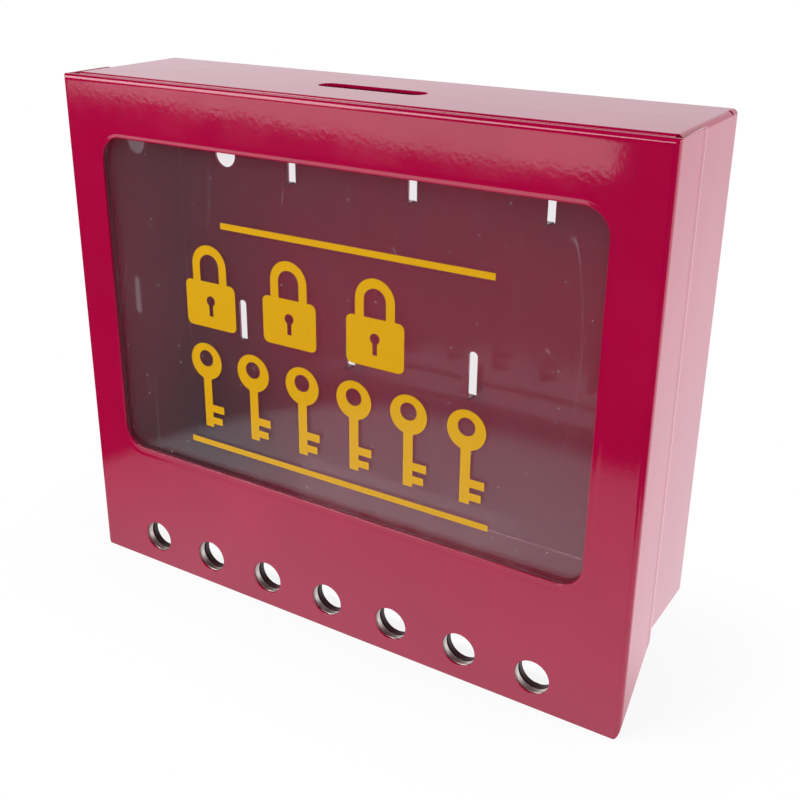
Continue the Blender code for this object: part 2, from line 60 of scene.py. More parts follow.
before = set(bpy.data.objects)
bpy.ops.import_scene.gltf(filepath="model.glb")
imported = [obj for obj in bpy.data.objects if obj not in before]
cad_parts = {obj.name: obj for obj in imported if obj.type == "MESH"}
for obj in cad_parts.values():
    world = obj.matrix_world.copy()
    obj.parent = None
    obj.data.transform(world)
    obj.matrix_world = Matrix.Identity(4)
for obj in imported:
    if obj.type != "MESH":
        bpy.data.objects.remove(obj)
cad_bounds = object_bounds()
cover_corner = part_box("cover")[0]

# Facets of the round forms
HOLE_SIDES = 56
BORE_SIDES = 24
WIRE_SIDES = 24
THREAD_SIDES = 24
NUT_SIDES = 48
RIVET_SIDES = 32
WINDOW_STEPS = 14
CURL_STEPS = 28
FOLD_STEPS = 10
HOOK_STEPS = 8
KEYHOLE_STEPS = 36
NECK_STEPS = 12
PRINT_CORNER_STEPS = 8
PRINT_BOW_STEPS = 24
PRINT_EYE_STEPS = 20
PRINT_KEY_STEPS = 40
PRINT_KEY_SIDES = 32

# How the edges are eased, and from which angle on they count as sharp
SHARP_ANGLE = radians(35)
EASED_ANGLE = radians(40)
EASE_STEPS = 3
STRIP_EASE = 0.00015
LEAF_EASE = 0.0001
HOOK_EASE = 0.0002

# Width of the even strip that a flat face keeps round its outline and its holes
EDGE_STRIP = 0.0008

# The gasket's press mark: distances from the window and depths, as shares of the mark's offset and depth
MARK_REACH_SHARE = 2.1
MARK_SHARES = ((1.8, 0), (1.4, 0.55), (1.0, 1), (0.65, 0.5), (0.35, 0.1), (0, 0))

# The flange's bead: distances from its crest and depths below it, as shares of the bead's width and height
BEAD_SHARES = ((-1.6, 1), (-0.7, 1), (0, 0), (0.5, 0.55), (1, 1))

# Colour of the room's light, a little cooler than white, and the background's own
ROOM_TINT = (0.985, 0.99, 1.05, 1)
PLAIN_WHITE = (1, 1, 1, 1)


def linear_colour(code):
    """Turn an sRGB hex value into linear red, green and blue."""
    levels = [int(code[place:place + 2], 16) / 255 for place in (0, 2, 4)]
    return tuple(level / 12.92 if level <= 0.04045 else ((level + 0.055) / 1.055) ** 2.4 for level in levels)


def box_size(node, axis):
    """Length of a packed node's box along one axis."""
    low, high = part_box(node)
    return high[axis] - low[axis]


def node_depth(node, back=False):
    """Depth of a packed node's front or back face behind the cover's front."""
    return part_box(node)[back].y - cover_corner.y


def node_height(node, top=False):
    """Height of a packed node's lower or upper end above the cover's bottom edge."""
    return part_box(node)[top].z - cover_corner.z


def place(x, depth, height):
    """Turn a depth and a height into a point of the model's frame."""
    return Vector((x, cover_corner.y + depth, cover_corner.z + height))


# What a user would change


def length_setting(name, description, default):
    """A length in metres."""
    return FloatProperty(name=name, description=description, default=default, unit="LENGTH")


def count_setting(name, description, default, least):
    """A number of like things."""
    return IntProperty(name=name, description=description, default=default, min=least)


def level_setting(name, description, default):
    """A share or a strength that can't be negative."""
    return FloatProperty(name=name, description=description, default=default, min=0)


def colour_setting(name, description, code):
    """A colour, given as an sRGB hex value."""
    return FloatVectorProperty(name=name, description=description, size=3, default=linear_colour(code),
                               subtype="COLOR", min=0, max=1)


def row_setting(name, description, default):
    """Two places across the cover and a height, in metres."""
    return FloatVectorProperty(name=name, description=description, size=3, default=default, unit="LENGTH")


def place_setting(name, description, default):
    """A point of the model's frame, in metres."""
    return FloatVectorProperty(name=name, description=description, size=3, default=default,
                               subtype="TRANSLATION", unit="LENGTH")


def power_setting(name, description, default):
    """A lamp's power."""
    return FloatProperty(name=name, description=description, default=default, min=0, unit="POWER")


class SheetSizes(bpy.types.PropertyGroup):
    """Sheet steel that the cover and the box are folded from."""

    thickness: length_setting("Thickness", "Thickness of the folded sheet", 0.0012)
    edge_radius: length_setting("Edge radius", "How far the paint rounds a cut edge", 0.00045)
    bend_steps: count_setting("Bend steps", "Facets around each fold", 10, 3)


class CoverSizes(bpy.types.PropertyGroup):
    """Folded cover."""

    width: length_setting("Width", "Width over the side flanges", box_size("cover", 0))
    height: length_setting("Height", "Height of the front", box_size("cover", 2))
    flange_depth: length_setting("Flange depth", "Depth of the side flanges", box_size("cover", 1))
    bend_radius: length_setting("Bend radius", "Outer radius of the folds", 0.0028)
    taper_front: length_setting("Taper front", "Height of the flange's taper where it meets the front",
                                0.0038)
    taper_rear: length_setting("Taper rear", "Height of the flange's taper at its rear edge", 0.0352)
    return_flat: length_setting("Return", "Flat stretch of the top return behind its fold", 0.0006)
    window_side: length_setting("Window side margin", "Painted steel beside the window", 0.0232)
    window_top: length_setting("Window top margin", "Painted steel above the window", 0.0284)
    window_bottom: length_setting("Window bottom", "Height of the window's lower edge", 0.0697)
    window_radius: length_setting("Window radius", "Radius of the window's corners", 0.012)
    mark_offset: length_setting("Mark offset", "Distance of the gasket's press mark from the window", 0.0022)
    mark_depth: length_setting("Mark depth", "Depth of the gasket's press mark", 0.00013)
    bead_width: length_setting("Bead width", "Width of the bead along a flange's rear edge", 0.0022)
    bead_height: length_setting("Bead height", "Height of the bead along a flange's rear edge", 0.00014)


class HoleSizes(bpy.types.PropertyGroup):
    """Row of padlock holes through the cover, the bar and the angle."""

    count: count_setting("Count", "Padlock holes in the row", 7, 1)
    diameter: length_setting("Diameter", "Diameter of a padlock hole", 0.0173)
    pitch: length_setting("Pitch", "Distance between padlock holes", 0.0381)
    height: length_setting("Height", "Height of the hole centres", 0.0164)
    shift: length_setting("Shift", "How far the row is off the centre line", -0.0011)


class PaneSizes(bpy.types.PropertyGroup):
    """Clear pane behind the window, with its gasket, strips and fasteners."""

    corner_radius: length_setting("Corner radius", "Radius of the pane's corners", 0.003)
    gasket_setback: length_setting("Gasket setback", "Gap from the window's edge to the gasket", 0.0008)
    stud_diameter: length_setting("Stud diameter", "Diameter over a stud's thread", 0.0035)
    thread_pitch: length_setting("Thread pitch", "Pitch of a stud's thread", 0.0006)
    nut_flats: length_setting("Nut", "Width of a nut across its flats", 0.006)


class PrintSizes(bpy.types.PropertyGroup):
    """Yellow print on the pane: two rules, with a row of padlocks over a row of keys between them."""

    film: length_setting("Film", "Thickness of the ink film", 0.00004)
    rule_width: length_setting("Rule width", "Width of the rules", 0.0031)
    upper_rule: row_setting("Upper rule", "Left end, right end and height", (-0.062, 0.0844, 0.202))
    lower_rule: row_setting("Lower rule", "Left end, right end and height", (-0.088, 0.0859, 0.084))
    padlock_width: length_setting("Padlock width", "Width of a printed padlock", 0.031)
    padlock_height: length_setting("Padlock height", "Height of a printed padlock", 0.0425)
    padlock_row: row_setting("Padlock row", "First centre, last centre and foot", (-0.0705, 0.0255, 0.1485))
    padlock_count: count_setting("Padlocks", "Padlocks in the upper row", 3, 2)
    key_width: length_setting("Key width", "Width of a printed key's bow", 0.0195)
    key_height: length_setting("Key height", "Height of a printed key", 0.046)
    key_row: row_setting("Key row", "First centre, last centre and foot", (-0.0755, 0.0735, 0.0935))
    key_count: count_setting("Keys", "Keys in the lower row", 6, 2)


class HingeSizes(bpy.types.PropertyGroup):
    """Continuous hinge in the groove above the cover."""

    pin_diameter: length_setting("Pin diameter", "Diameter of the hinge wire", 0.0019)
    clearance: length_setting("Clearance", "Play between the wire and a knuckle", 0.00025)
    leaf: length_setting("Leaf", "Thickness of the leaves", 0.0007)
    knuckles: count_setting("Knuckles", "Knuckles along the hinge", 13, 3)
    gap: length_setting("Knuckle gap", "Gap between knuckles", 0.0004)
    drop: length_setting("Leaf drop", "How far the leaves hang below the axis", 0.0123)
    neck: length_setting("Neck", "How far below the axis a knuckle starts", 0.0023)
    crank: length_setting("Crank", "Height of the front leaf's crank", 0.0022)
    lead: length_setting("Lead", "Straight stretch above the crank", 0.0004)
    curl: FloatProperty(name="Curl", description="How far a knuckle is rolled", default=radians(285),
                        subtype="ANGLE")


class BoxSizes(bpy.types.PropertyGroup):
    """Folded box, open behind the cover."""

    bend_radius: length_setting("Bend radius", "Outer radius of the folds", 0.0025)
    lip_radius: length_setting("Lip radius", "Outer radius of the front lip's fold", 0.0018)
    lip_drop: length_setting("Lip drop", "Height of the front lip", 0.0145)
    slot_length: length_setting("Slot length", "Length of the key slot", 0.057)
    slot_width: length_setting("Slot width", "Width of the key slot", 0.011)
    slot_depth: length_setting("Slot depth", "Depth of the key slot's middle", 0.0402)
    keyhole_spacing: length_setting("Keyhole spacing", "Distance between the mounting keyholes", 0.2396)
    keyhole_height: length_setting("Keyhole height", "Height of the keyholes' round entries", 0.217)
    keyhole_diameter: length_setting("Keyhole diameter", "Diameter of a keyhole's entry", 0.0137)
    keyhole_neck: length_setting("Keyhole neck", "Width of a keyhole's neck", 0.0065)
    keyhole_rise: length_setting("Keyhole rise", "How far the neck rises", 0.0115)
    notch_diameter: length_setting("Notch diameter", "Diameter of the relief notches", 0.0024)
    notch_setback: length_setting("Notch setback", "Distance of a notch from the back", 0.0085)
    notch_sink: length_setting("Notch sink", "How far a notch reaches down", 0.0022)


class HookSizes(bpy.types.PropertyGroup):
    """Key hooks, lanced from slots in the back panel."""

    slot_width: length_setting("Slot width", "Width of a hook's slot", 0.005)
    slot_length: length_setting("Slot length", "Length of a hook's slot", 0.0254)
    pitch: length_setting("Pitch", "Distance between hooks", 0.0746)
    upper_height: length_setting("Upper row", "Height of the upper row's slots", 0.2054)
    lower_height: length_setting("Lower row", "Height of the lower row's slots", 0.1092)
    upper_count: count_setting("Upper hooks", "Hooks in the upper row", 3, 2)
    lower_count: count_setting("Lower hooks", "Hooks in the lower row", 4, 2)
    width: length_setting("Width", "Width of a hook", 0.0038)
    thickness: length_setting("Thickness", "Thickness of a hook", 0.001)
    reach: length_setting("Reach", "How far a hook stands off the panel", 0.0086)
    rise: length_setting("Rise", "Height of a hook above its slot's bottom", 0.016)
    root: length_setting("Root", "How far a hook's root reaches into the panel", 0.0012)
    lead: length_setting("Lead", "Straight stretch before a hook's first bend", 0.0004)
    bend_radius: length_setting("Bend radius", "Radius of a hook's bends", 0.0016)


class AngleSizes(bpy.types.PropertyGroup):
    """Lock angle under the box, with its rivets."""

    thickness: length_setting("Thickness", "Thickness of the angle", 0.0032)
    bend_radius: length_setting("Bend radius", "Radius of the bend's middle line", 0.0032)
    rivet_setback: length_setting("Rivet setback", "Distance of the rivets behind the angle's front", 0.0145)
    rivet_reach: length_setting("Rivet reach", "Distance of the outer rivets from the centre line", 0.120)
    rivet_count: count_setting("Rivets", "Rivets along the angle", 5, 2)
    rivet_diameter: length_setting("Rivet diameter", "Diameter of a rivet's shank", 0.004)
    head_diameter: length_setting("Head diameter", "Diameter of a rivet's head", 0.0074)
    head_height: length_setting("Head height", "Height of a rivet's head", 0.0012)
    tail_diameter: length_setting("Tail diameter", "Diameter of a rivet's set end", 0.006)
    tail_height: length_setting("Tail height", "Height of a rivet's set end", 0.0014)
    hole_clearance: length_setting("Clearance", "Play around a rivet or a stud", 0.0003)


class Finishes(bpy.types.PropertyGroup):
    """Colours of the finishes."""

    paint: colour_setting("Powder coat", "Crimson powder coat on the folded steel", "a00137")
    ink: colour_setting("Ink", "Yellow ink on the pane", "cf9b04")
    steel: colour_setting("Bare steel", "Cold-rolled lock bar", "d2c6be")
    zinc: colour_setting("Zinc plate", "Strips, studs, nuts, rivets and wire", "b9babd")
    pane: colour_setting("Polycarbonate", "Tint of the clear pane", "f7f2f4")
    haze: FloatProperty(name="Haze", description="Share of the pane's face that fine dust covers",
                        default=0.018, min=0, max=1)
    # The gasket's dark red is partly painted reflection: the cover's red mirrored in the pane at the window's
    # rim.
    foam: colour_setting("Foam", "Closed-cell gasket", "7a2038")
    # The lock angle's dark brown is painted shade, the deep shade that lies behind the padlock holes.
    painted_shade: colour_setting("Primer", "Dark primer on the lock angle", "45262a")
    ground: colour_setting("Floor", "White studio floor", "f6f6f6")


class Studio(bpy.types.PropertyGroup):
    """Camera and light."""

    camera_place: place_setting("Camera place", "Where the camera stands", (0.28065, -0.47312, 0.17143))
    camera_turn: FloatVectorProperty(name="Camera turn", description="How the camera is turned", size=3,
                                     default=(radians(67.972), radians(-0.163), radians(32.694)),
                                     subtype="EULER")
    lens: FloatProperty(name="Lens", description="Focal length in millimetres", default=50.46, min=1)
    shift: FloatVectorProperty(name="Shift", description="Lens shift across and up, as shares of the frame",
                               size=2, default=(0.0288, -0.0453))
    sheet_reach: length_setting("Sheet reach", "How far the white sheet runs to the sides and back", 6.0)
    room_level: level_setting("Room level", "Even light from all around", 0.55)
    front_level: level_setting("Front level", "What the gloss mirrors in the dim room in front", 0.0)
    rear_level: level_setting("Rear level", "What the gloss mirrors in the white room behind", 0.94)
    key_power: power_setting("Key power", "Soft lamp above the front left", 15.0)
    key_place: place_setting("Key place", "Middle of the key lamp", (-0.8, -0.8, 0.85))
    key_size: length_setting("Key size", "Side of the key lamp", 1.1)
    side_power: power_setting("Side power", "Soft lamp to the right", 9.5)
    side_place: place_setting("Side place", "Middle of the side lamp", (1.3, 0.05, 0.5))
    side_size: length_setting("Side size", "Side of the side lamp", 1.0)
    card_power: power_setting("Card power", "Upright lit card that the cover's top edge mirrors", 0.9)
    card_place: place_setting("Card place", "Middle of the lit card", (-0.815, -1.16, -0.052))
    card_width: length_setting("Card width", "Width of the lit card", 1.09)
    card_height: length_setting("Card height", "Height of the lit card", 0.21)
    card_roll: FloatProperty(name="Card roll", description="How far the lit card's right end hangs down",
                             default=radians(2.5), subtype="ANGLE")


GROUPS = {
    "lockbox_sheet": SheetSizes,
    "lockbox_cover": CoverSizes,
    "lockbox_holes": HoleSizes,
    "lockbox_pane": PaneSizes,
    "lockbox_print": PrintSizes,
    "lockbox_hinge": HingeSizes,
    "lockbox_box": BoxSizes,
    "lockbox_hooks": HookSizes,
    "lockbox_angle": AngleSizes,
    "lockbox_finishes": Finishes,
    "lockbox_studio": Studio,
}


# Outlines


def arc(centre, radius, start, end, steps):
    """Points along an arc, both ends included, with angles in degrees."""
    turns = [radians(start + (end - start) * step / steps) for step in range(steps + 1)]
    return [(centre[0] + radius * cos(turn), centre[1] + radius * sin(turn)) for turn in turns]


def circle(centre, diameter, sides=48):
    """Points of a full circle."""
    return arc(centre, diameter / 2, 0, 360, sides)[:-1]


def rectangle(left, bottom, right, top):
    """Outline of a plain rectangle."""
    return [(left, bottom), (right, bottom), (right, top), (left, top)]


def rounded_rectangle(left, bottom, right, top, radius, steps=12):
    """Outline of a rectangle with round corners."""
    points = arc((left + radius, bottom + radius), radius, 180, 270, steps)
    points += arc((right - radius, bottom + radius), radius, 270, 360, steps)
    points += arc((right - radius, top - radius), radius, 0, 90, steps)
    return points + arc((left + radius, top - radius), radius, 90, 180, steps)


def upright_slot(centre, bottom, width, length, steps=12):
    """Outline of an upright slot with round ends."""
    radius = width / 2
    points = arc((centre, bottom + length - radius), radius, 0, 180, steps)
    return points + arc((centre, bottom + radius), radius, 180, 360, steps)


def level_slot(centre, width, length, steps=12):
    """Outline of a level slot with round ends."""
    radius = width / 2
    reach = length / 2 - radius
    points = arc((centre[0] + reach, centre[1]), radius, -90, 90, steps)
    return points + arc((centre[0] - reach, centre[1]), radius, 90, 270, steps)


def keyhole_outline(x, sizes):
    """A round entry with a narrower neck above it."""
    entry = sizes.keyhole_diameter / 2
    neck = sizes.keyhole_neck / 2
    start = degrees(Vector((1, 0)).angle(Vector((neck, (entry ** 2 - neck ** 2) ** 0.5))))
    points = arc((x, sizes.keyhole_height), entry, 180 - start, 360 + start, KEYHOLE_STEPS)
    return points + arc((x, sizes.keyhole_height + sizes.keyhole_rise), neck, 0, 180, NECK_STEPS)


def strip_outline(path, thickness):
    """Outline of a strip of even thickness along a path of points."""
    points = [Vector(point) for point in path]
    runs = [(after - before).normalized() for before, after in zip(points, points[1:])]
    near = []
    far = []
    for index, point in enumerate(points):
        before = runs[max(index - 1, 0)]
        after = runs[min(index, len(runs) - 1)]
        tangent = (before + after).normalized()
        offset = Vector((-tangent.y, tangent.x)) * (thickness / 2) / tangent.dot(before)
        near.append(point + offset)
        far.append(point - offset)
    return near + far[::-1]


def spread(first, last, count):
    """Places spread evenly from the first to the last."""
    return [first + (last - first) * index / (count - 1) for index in range(count)]


def grown(points, margin):
    """A closed outline, moved outward evenly."""
    loop = [Vector(point) for point in points]
    area = sum(before.cross(after) for before, after in zip(loop, loop[1:] + loop[:1]))
    hand = 1 if area > 0 else -1
    moved = []
    for before, point, after in zip(loop[-1:] + loop, loop, loop[1:] + loop[:1]):
        first = (point - before).normalized()
        second = (after - point).normalized()
        first = Vector((first.y, -first.x)) * hand
        second = Vector((second.y, -second.x)) * hand
        middle = (first + second).normalized()
        moved.append(point + middle * margin / middle.dot(first))
    return moved


def padlock_holes(sizes):
    """Outlines of the padlock holes."""
    reach = sizes.pitch * (sizes.count - 1) / 2
    centres = spread(sizes.shift - reach, sizes.shift + reach, sizes.count)
    return [circle((x, sizes.height), sizes.diameter, HOLE_SIDES) for x in centres]


def window_outline(sizes, growth=0):
    """Outline of the window, or of one grown evenly."""
    half = sizes.width / 2 - sizes.window_side + growth
    low = sizes.window_bottom - growth
    high = sizes.height - sizes.window_top + growth
    return rounded_rectangle(-half, low, half, high, sizes.window_radius + growth, WINDOW_STEPS)


# Meshes


def bridge(mesh, near, far):
    """Join two rows of vertices with faces."""
    for index in range(1, len(near)):
        mesh.faces.new((near[index - 1], near[index], far[index], far[index - 1]))


def wrap(mesh, near, far):
    """Join two closed rings of vertices with faces."""
    bridge(mesh, near + near[:1], far + far[:1])


def edge_ring(mesh, points, margin, edges):
    """Add a closed ring of vertices, and the edges that a filling starts from, a margin away from it."""
    ring = [mesh.verts.new((x, y, 0)) for x, y in points]
    start = ring
    if margin:
        start = [mesh.verts.new((x, y, 0)) for x, y in grown(points, margin)]
        wrap(mesh, ring, start)
    for index, vertex in enumerate(start):
        edges.append(mesh.edges.get((start[index - 1], vertex)) or mesh.edges.new((start[index - 1], vertex)))
    return ring


def fill(mesh, outline, holes, spot, margin=0.0):
    """Fill a flat outline with holes, standing it up by a function of its two coordinates. A margin keeps an
    even strip along each edge. Returns the rings of the outline and of the holes."""
    before = set(mesh.verts)
    edges = []
    rings = [edge_ring(mesh, outline, -margin, edges)]
    rings += [edge_ring(mesh, hole, margin, edges) for hole in holes]
    bmesh.ops.triangle_fill(mesh, edges=edges, use_beauty=True)
    for vertex in set(mesh.verts) - before:
        vertex.co = spot(vertex.co.x, vertex.co.y)
    return rings


def plate(mesh, outline, holes, low, high, spot, margin=0.0):
    """Add a flat plate between two levels, standing it up by a function of three coordinates."""
    faces = [fill(mesh, outline, holes, lambda x, y, level=level: spot(x, y, level), margin)
             for level in (low, high)]
    for near, far in zip(*faces):
        wrap(mesh, near, far)


def turned(mesh, profile, sides, spot):
    """Add a solid turned about its own upright axis from a profile of radii and heights, closed at both
    ends."""
    rings = []
    for radius, height in profile:
        rings.append([mesh.verts.new(spot(x, y, height)) for x, y in circle((0, 0), 2 * radius, sides)])
    for near, far in zip(rings, rings[1:]):
        wrap(mesh, near, far)
    mesh.faces.new(rings[0])
    mesh.faces.new(rings[-1])


def stand(name, data):
    """Put an object with its data in the scene."""
    thing = bpy.data.objects.new(name, data)
    bpy.context.scene.collection.objects.link(thing)
    return thing


def mesh_data(name, mesh, material=None):
    """Mesh data from a bmesh, with its faces turned outward."""
    bmesh.ops.recalc_face_normals(mesh, faces=mesh.faces)
    data = bpy.data.meshes.new(name)
    mesh.to_mesh(data)
    mesh.free()
    if material:
        data.materials.append(material)
    return data


def add_piece(name, mesh, body, material, nodes, easing=0.0, sheet=0.0, data=None):
    """Make one piece from a bmesh or from shared mesh data, with its material, tie it to its body, and hide
    the nodes it stands in for.
    """
    if data is None:
        data = mesh_data(name, mesh, material)
        data.shade_smooth()
        data.set_sharp_from_angle(angle=SHARP_ANGLE)
    piece = stand(name, data)
    if sheet:
        wall = piece.modifiers.new("sheet", "SOLIDIFY")
        wall.thickness = sheet
        wall.offset = -1
        wall.use_even_offset = True
    if easing:
        edge = piece.modifiers.new("eased edges", "BEVEL")
        edge.width = easing
        edge.segments = EASE_STEPS
        edge.limit_method = "ANGLE"
        edge.angle_limit = EASED_ANGLE
        edge.harden_normals = False
        flat = piece.modifiers.new("even normals", "WEIGHTED_NORMAL")
        flat.keep_sharp = False
    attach(piece, body)
    if nodes:
        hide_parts(*nodes)
    return piece


def stand_copies(start, ending, body, material, axis, shape):
    """Build one mesh for all the nodes whose names start alike, and stand a piece of it at each. The mesh's
    origin goes to the middle of the node's low end along an axis."""
    data = None
    for node in sorted(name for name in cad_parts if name.startswith(start)):
        low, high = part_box(node)
        mesh = None
        if data is None:
            mesh = bmesh.new()
            shape(mesh, high[axis] - low[axis])
        piece = add_piece(node + ending, mesh, body, material, [node], data=data)
        data = piece.data
        seat = (low + high) / 2
        seat[axis] = low[axis]
        piece.matrix_world.translation = seat


# Finishes


def add_node(tree, kind, inputs=None, **settings):
    """Add one shader node with its settings, and set or link its inputs. A node given as an input is linked
    by its first output."""
    node = tree.nodes.new("ShaderNode" + kind)
    for name, value in settings.items():
        setattr(node, name, value)
    for name, value in (inputs or {}).items():
        sockets = [item for item in node.inputs if item.enabled and item.name == name]
        socket = sockets[0] if sockets else node.inputs[name]
        if isinstance(value, bpy.types.Node):
            value = next(item for item in value.outputs if item.enabled)
        if isinstance(value, bpy.types.NodeSocket):
            tree.links.new(value, socket)
        else:
            socket.default_value = value
    return node


def finished(finish, scene):
    """The material of a finish, made once. A finish adds its nodes to a tree, with patterns in object
    coordinates, and returns its shader."""
    material = bpy.data.materials.get(finish.__name__)
    if material is None:
        material = bpy.data.materials.new(finish.__name__)
        material.use_nodes = True
        tree = material.node_tree
        tree.nodes.clear()
        spot = add_node(tree, "TexCoord").outputs["Object"]
        add_node(tree, "OutputMaterial", {"Surface": finish(tree, spot, scene.lockbox_finishes)})
    return material


def mottled(tree, colour, pattern, limits):
    """A colour made darker and lighter by a pattern, within limits."""
    shade = add_node(tree, "MapRange", {"Value": pattern, **limits})
    return add_node(tree, "VectorMath", {0: (*colour,), "Scale": shade}, operation="SCALE")


def gloss_powder_coat(tree, spot, finishes):
    """Polyester powder, sprayed on folded steel and baked: a deep crimson film that mirrors like wet paint.
    Its orange peel, in waves of about 2.5 mm, frays the edges of what it mirrors, and the sheet's own slow
    waves, about 30 mm wide, bend them. The film is a little thinner, and so paler, here and there, and
    handling has scuffed it in patches of about 18 mm."""
    patches = add_node(tree, "TexNoise", {"Vector": spot, "Scale": 1 / 0.06, "Detail": 2.0})
    colour = mottled(tree, finishes.paint, patches,
                     {"From Min": 0.3, "From Max": 0.7, "To Min": 0.94, "To Max": 1.06})
    rolled = add_node(tree, "Mapping", {"Vector": spot, "Scale": (1.0, 1.0, 0.3)})
    slow = add_node(tree, "TexNoise", {"Vector": rolled, "Scale": 1 / 0.03, "Detail": 1.5})
    swell = add_node(tree, "Bump", {"Height": slow, "Strength": 1.0, "Distance": 0.00012})
    peel = add_node(tree, "TexNoise", {"Vector": spot, "Scale": 1 / 0.0025, "Detail": 1.0})
    skin = add_node(tree, "Bump", {"Height": peel, "Strength": 1.0, "Distance": 0.000014, "Normal": swell})
    scuffs = add_node(tree, "TexNoise", {"Vector": spot, "Scale": 1 / 0.018, "Detail": 4.0})
    rough = add_node(tree, "MapRange",
                     {"Value": scuffs, "From Min": 0.35, "From Max": 0.7, "To Min": 0.055, "To Max": 0.1})
    return add_node(tree, "BsdfPrincipled",
                    {"Base Color": colour, "Roughness": rough, "IOR": 1.7, "Normal": skin})


def painted_shade_coat(tree, spot, finishes):
    """A dark brown coat on the steel angle, matt and a little grainy. Its dark brown is painted shade: it
    stands in for the deep shade behind the padlock holes. The grain is too fine to show, so it is drawn in
    specks of about 1 mm."""
    grain = add_node(tree, "TexNoise", {"Vector": spot, "Scale": 1 / 0.001, "Detail": 2.0})
    colour = mottled(tree, finishes.painted_shade, grain, {"To Min": 0.8, "To Max": 1.2})
    return add_node(tree, "BsdfPrincipled", {"Base Color": colour, "Roughness": 0.55, "IOR": 1.5})


def scratch_lines(tree, spot, turn, stretch, width, share):
    """Hairline scratches: thin level lines of a stretched, bent noise, broken up by a second noise."""
    run = add_node(tree, "Mapping", {"Vector": spot, "Rotation": (0, turn, 0), "Scale": stretch})
    waves = add_node(tree, "TexNoise", {"Vector": run, "Scale": 1.0, "Detail": 0.0, "Distortion": 0.15})
    middle = add_node(tree, "Math", {0: waves, 1: 0.5}, operation="SUBTRACT")
    near = add_node(tree, "Math", {0: middle}, operation="ABSOLUTE")
    line = add_node(tree, "MapRange",
                    {"Value": near, "From Min": 0.0, "From Max": width, "To Min": 1.0, "To Max": 0.0})
    breaks = add_node(tree, "TexNoise", {"Vector": run, "Scale": 1.7, "Detail": 2.0})
    kept = add_node(tree, "MapRange",
                    {"Value": breaks, "From Min": 1 - share, "From Max": 1.1 - share, "To Min": 0.0,
                     "To Max": 1.0})
    return add_node(tree, "Math", {0: line, 1: kept}, operation="MULTIPLY")


def clear_polycarbonate(tree, spot, finishes):
    """Extruded polycarbonate sheet: clear and mirror-smooth, softer than glass, so it carries hairline
    scratches and specks of dust on its outer face. The lamps' light passes it, as it passes the thin real
    pane."""
    upright = scratch_lines(tree, spot, radians(5), (90.0, 90.0, 9.0), 0.007, 0.45)
    slanted = scratch_lines(tree, spot, radians(62), (70.0, 70.0, 8.0), 0.005, 0.42)
    steep = scratch_lines(tree, spot, radians(-24), (80.0, 80.0, 9.0), 0.006, 0.42)
    both = add_node(tree, "Math", {0: upright, 1: slanted}, operation="MAXIMUM")
    both = add_node(tree, "Math", {0: both, 1: steep}, operation="MAXIMUM")
    flat = add_node(tree, "Mapping", {"Vector": spot, "Rotation": (radians(-90), 0, 0)})
    specks = add_node(tree, "TexVoronoi", {"Vector": flat, "Scale": 1 / 0.013}, voronoi_dimensions="2D")
    dots = add_node(tree, "MapRange",
                    {"Value": specks, "From Min": 0.014, "From Max": 0.032, "To Min": 1.0, "To Max": 0.0})
    chance = add_node(tree, "SeparateColor", {"Color": specks.outputs["Color"]})
    chance = add_node(tree, "MapRange", {"Value": chance, "From Min": 0.5, "To Max": 0.6})
    dusty = add_node(tree, "Math", {0: dots, 1: chance}, operation="MULTIPLY")
    worn = add_node(tree, "Math", {0: both, 1: 0.13}, operation="MULTIPLY")
    marks = add_node(tree, "Math", {0: worn, 1: dusty}, operation="MAXIMUM")
    low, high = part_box("window_pane")
    depth = add_node(tree, "SeparateXYZ", {"Vector": spot})
    outer = add_node(tree, "Math", {0: depth.outputs["Y"], 1: (low.y + high.y) / 2}, operation="LESS_THAN")
    marks = add_node(tree, "Math", {0: marks, 1: outer}, operation="MULTIPLY")
    cover = add_node(tree, "Math", {0: marks, 1: finishes.haze}, operation="MAXIMUM")
    clear = add_node(tree, "BsdfPrincipled",
                     {"Base Color": (*finishes.pane, 1), "Roughness": 0.0, "IOR": 1.585,
                      "Transmission Weight": 1.0})
    dust = add_node(tree, "BsdfDiffuse", {"Color": (*linear_colour("eeeef8"), 1)})
    marked = add_node(tree, "MixShader", {"Fac": cover, 1: clear, 2: dust})
    path = add_node(tree, "LightPath")
    through = add_node(tree, "BsdfTransparent", {"Color": (0.95, 0.95, 0.95, 1)})
    light = add_node(tree, "Math", {0: path.outputs["Is Shadow Ray"], 1: path.outputs["Is Diffuse Ray"]},
                     operation="MAXIMUM")
    return add_node(tree, "MixShader", {"Fac": light, 1: marked, 2: through})


def cold_rolled_steel(tree, spot, finishes):
    """Cold-rolled flat steel, left bare: a grey mirror, blurred across by rolling lines about 0.3 mm
    apart."""
    run = add_node(tree, "Mapping", {"Vector": spot, "Scale": (20.0, 3000.0, 3000.0)})
    lines = add_node(tree, "TexNoise", {"Vector": run, "Scale": 1.0, "Detail": 3.0})
    rough = add_node(tree, "MapRange", {"Value": lines, "To Min": 0.22, "To Max": 0.5})
    colour = mottled(tree, finishes.steel, lines, {"To Min": 0.85, "To Max": 1.1})
    grain = add_node(tree, "Bump", {"Height": lines, "Strength": 1.0, "Distance": 0.00001})
    return add_node(tree, "BsdfPrincipled",
                    {"Base Color": colour, "Metallic": 1.0, "Roughness": rough, "Normal": grain})


def zinc_plate(tree, spot, finishes):
    """Bright zinc, electroplated on steel and passivated: pale grey with a faint cloudiness in patches of
    about 2 mm, and a soft sheen."""
    clouds = add_node(tree, "TexNoise", {"Vector": spot, "Scale": 1 / 0.002, "Detail": 3.0})
    rough = add_node(tree, "MapRange", {"Value": clouds, "To Min": 0.22, "To Max": 0.45})
    colour = mottled(tree, finishes.zinc, clouds, {"To Min": 0.88, "To Max": 1.1})
    return add_node(tree, "BsdfPrincipled", {"Base Color": colour, "Metallic": 1.0, "Roughness": rough})


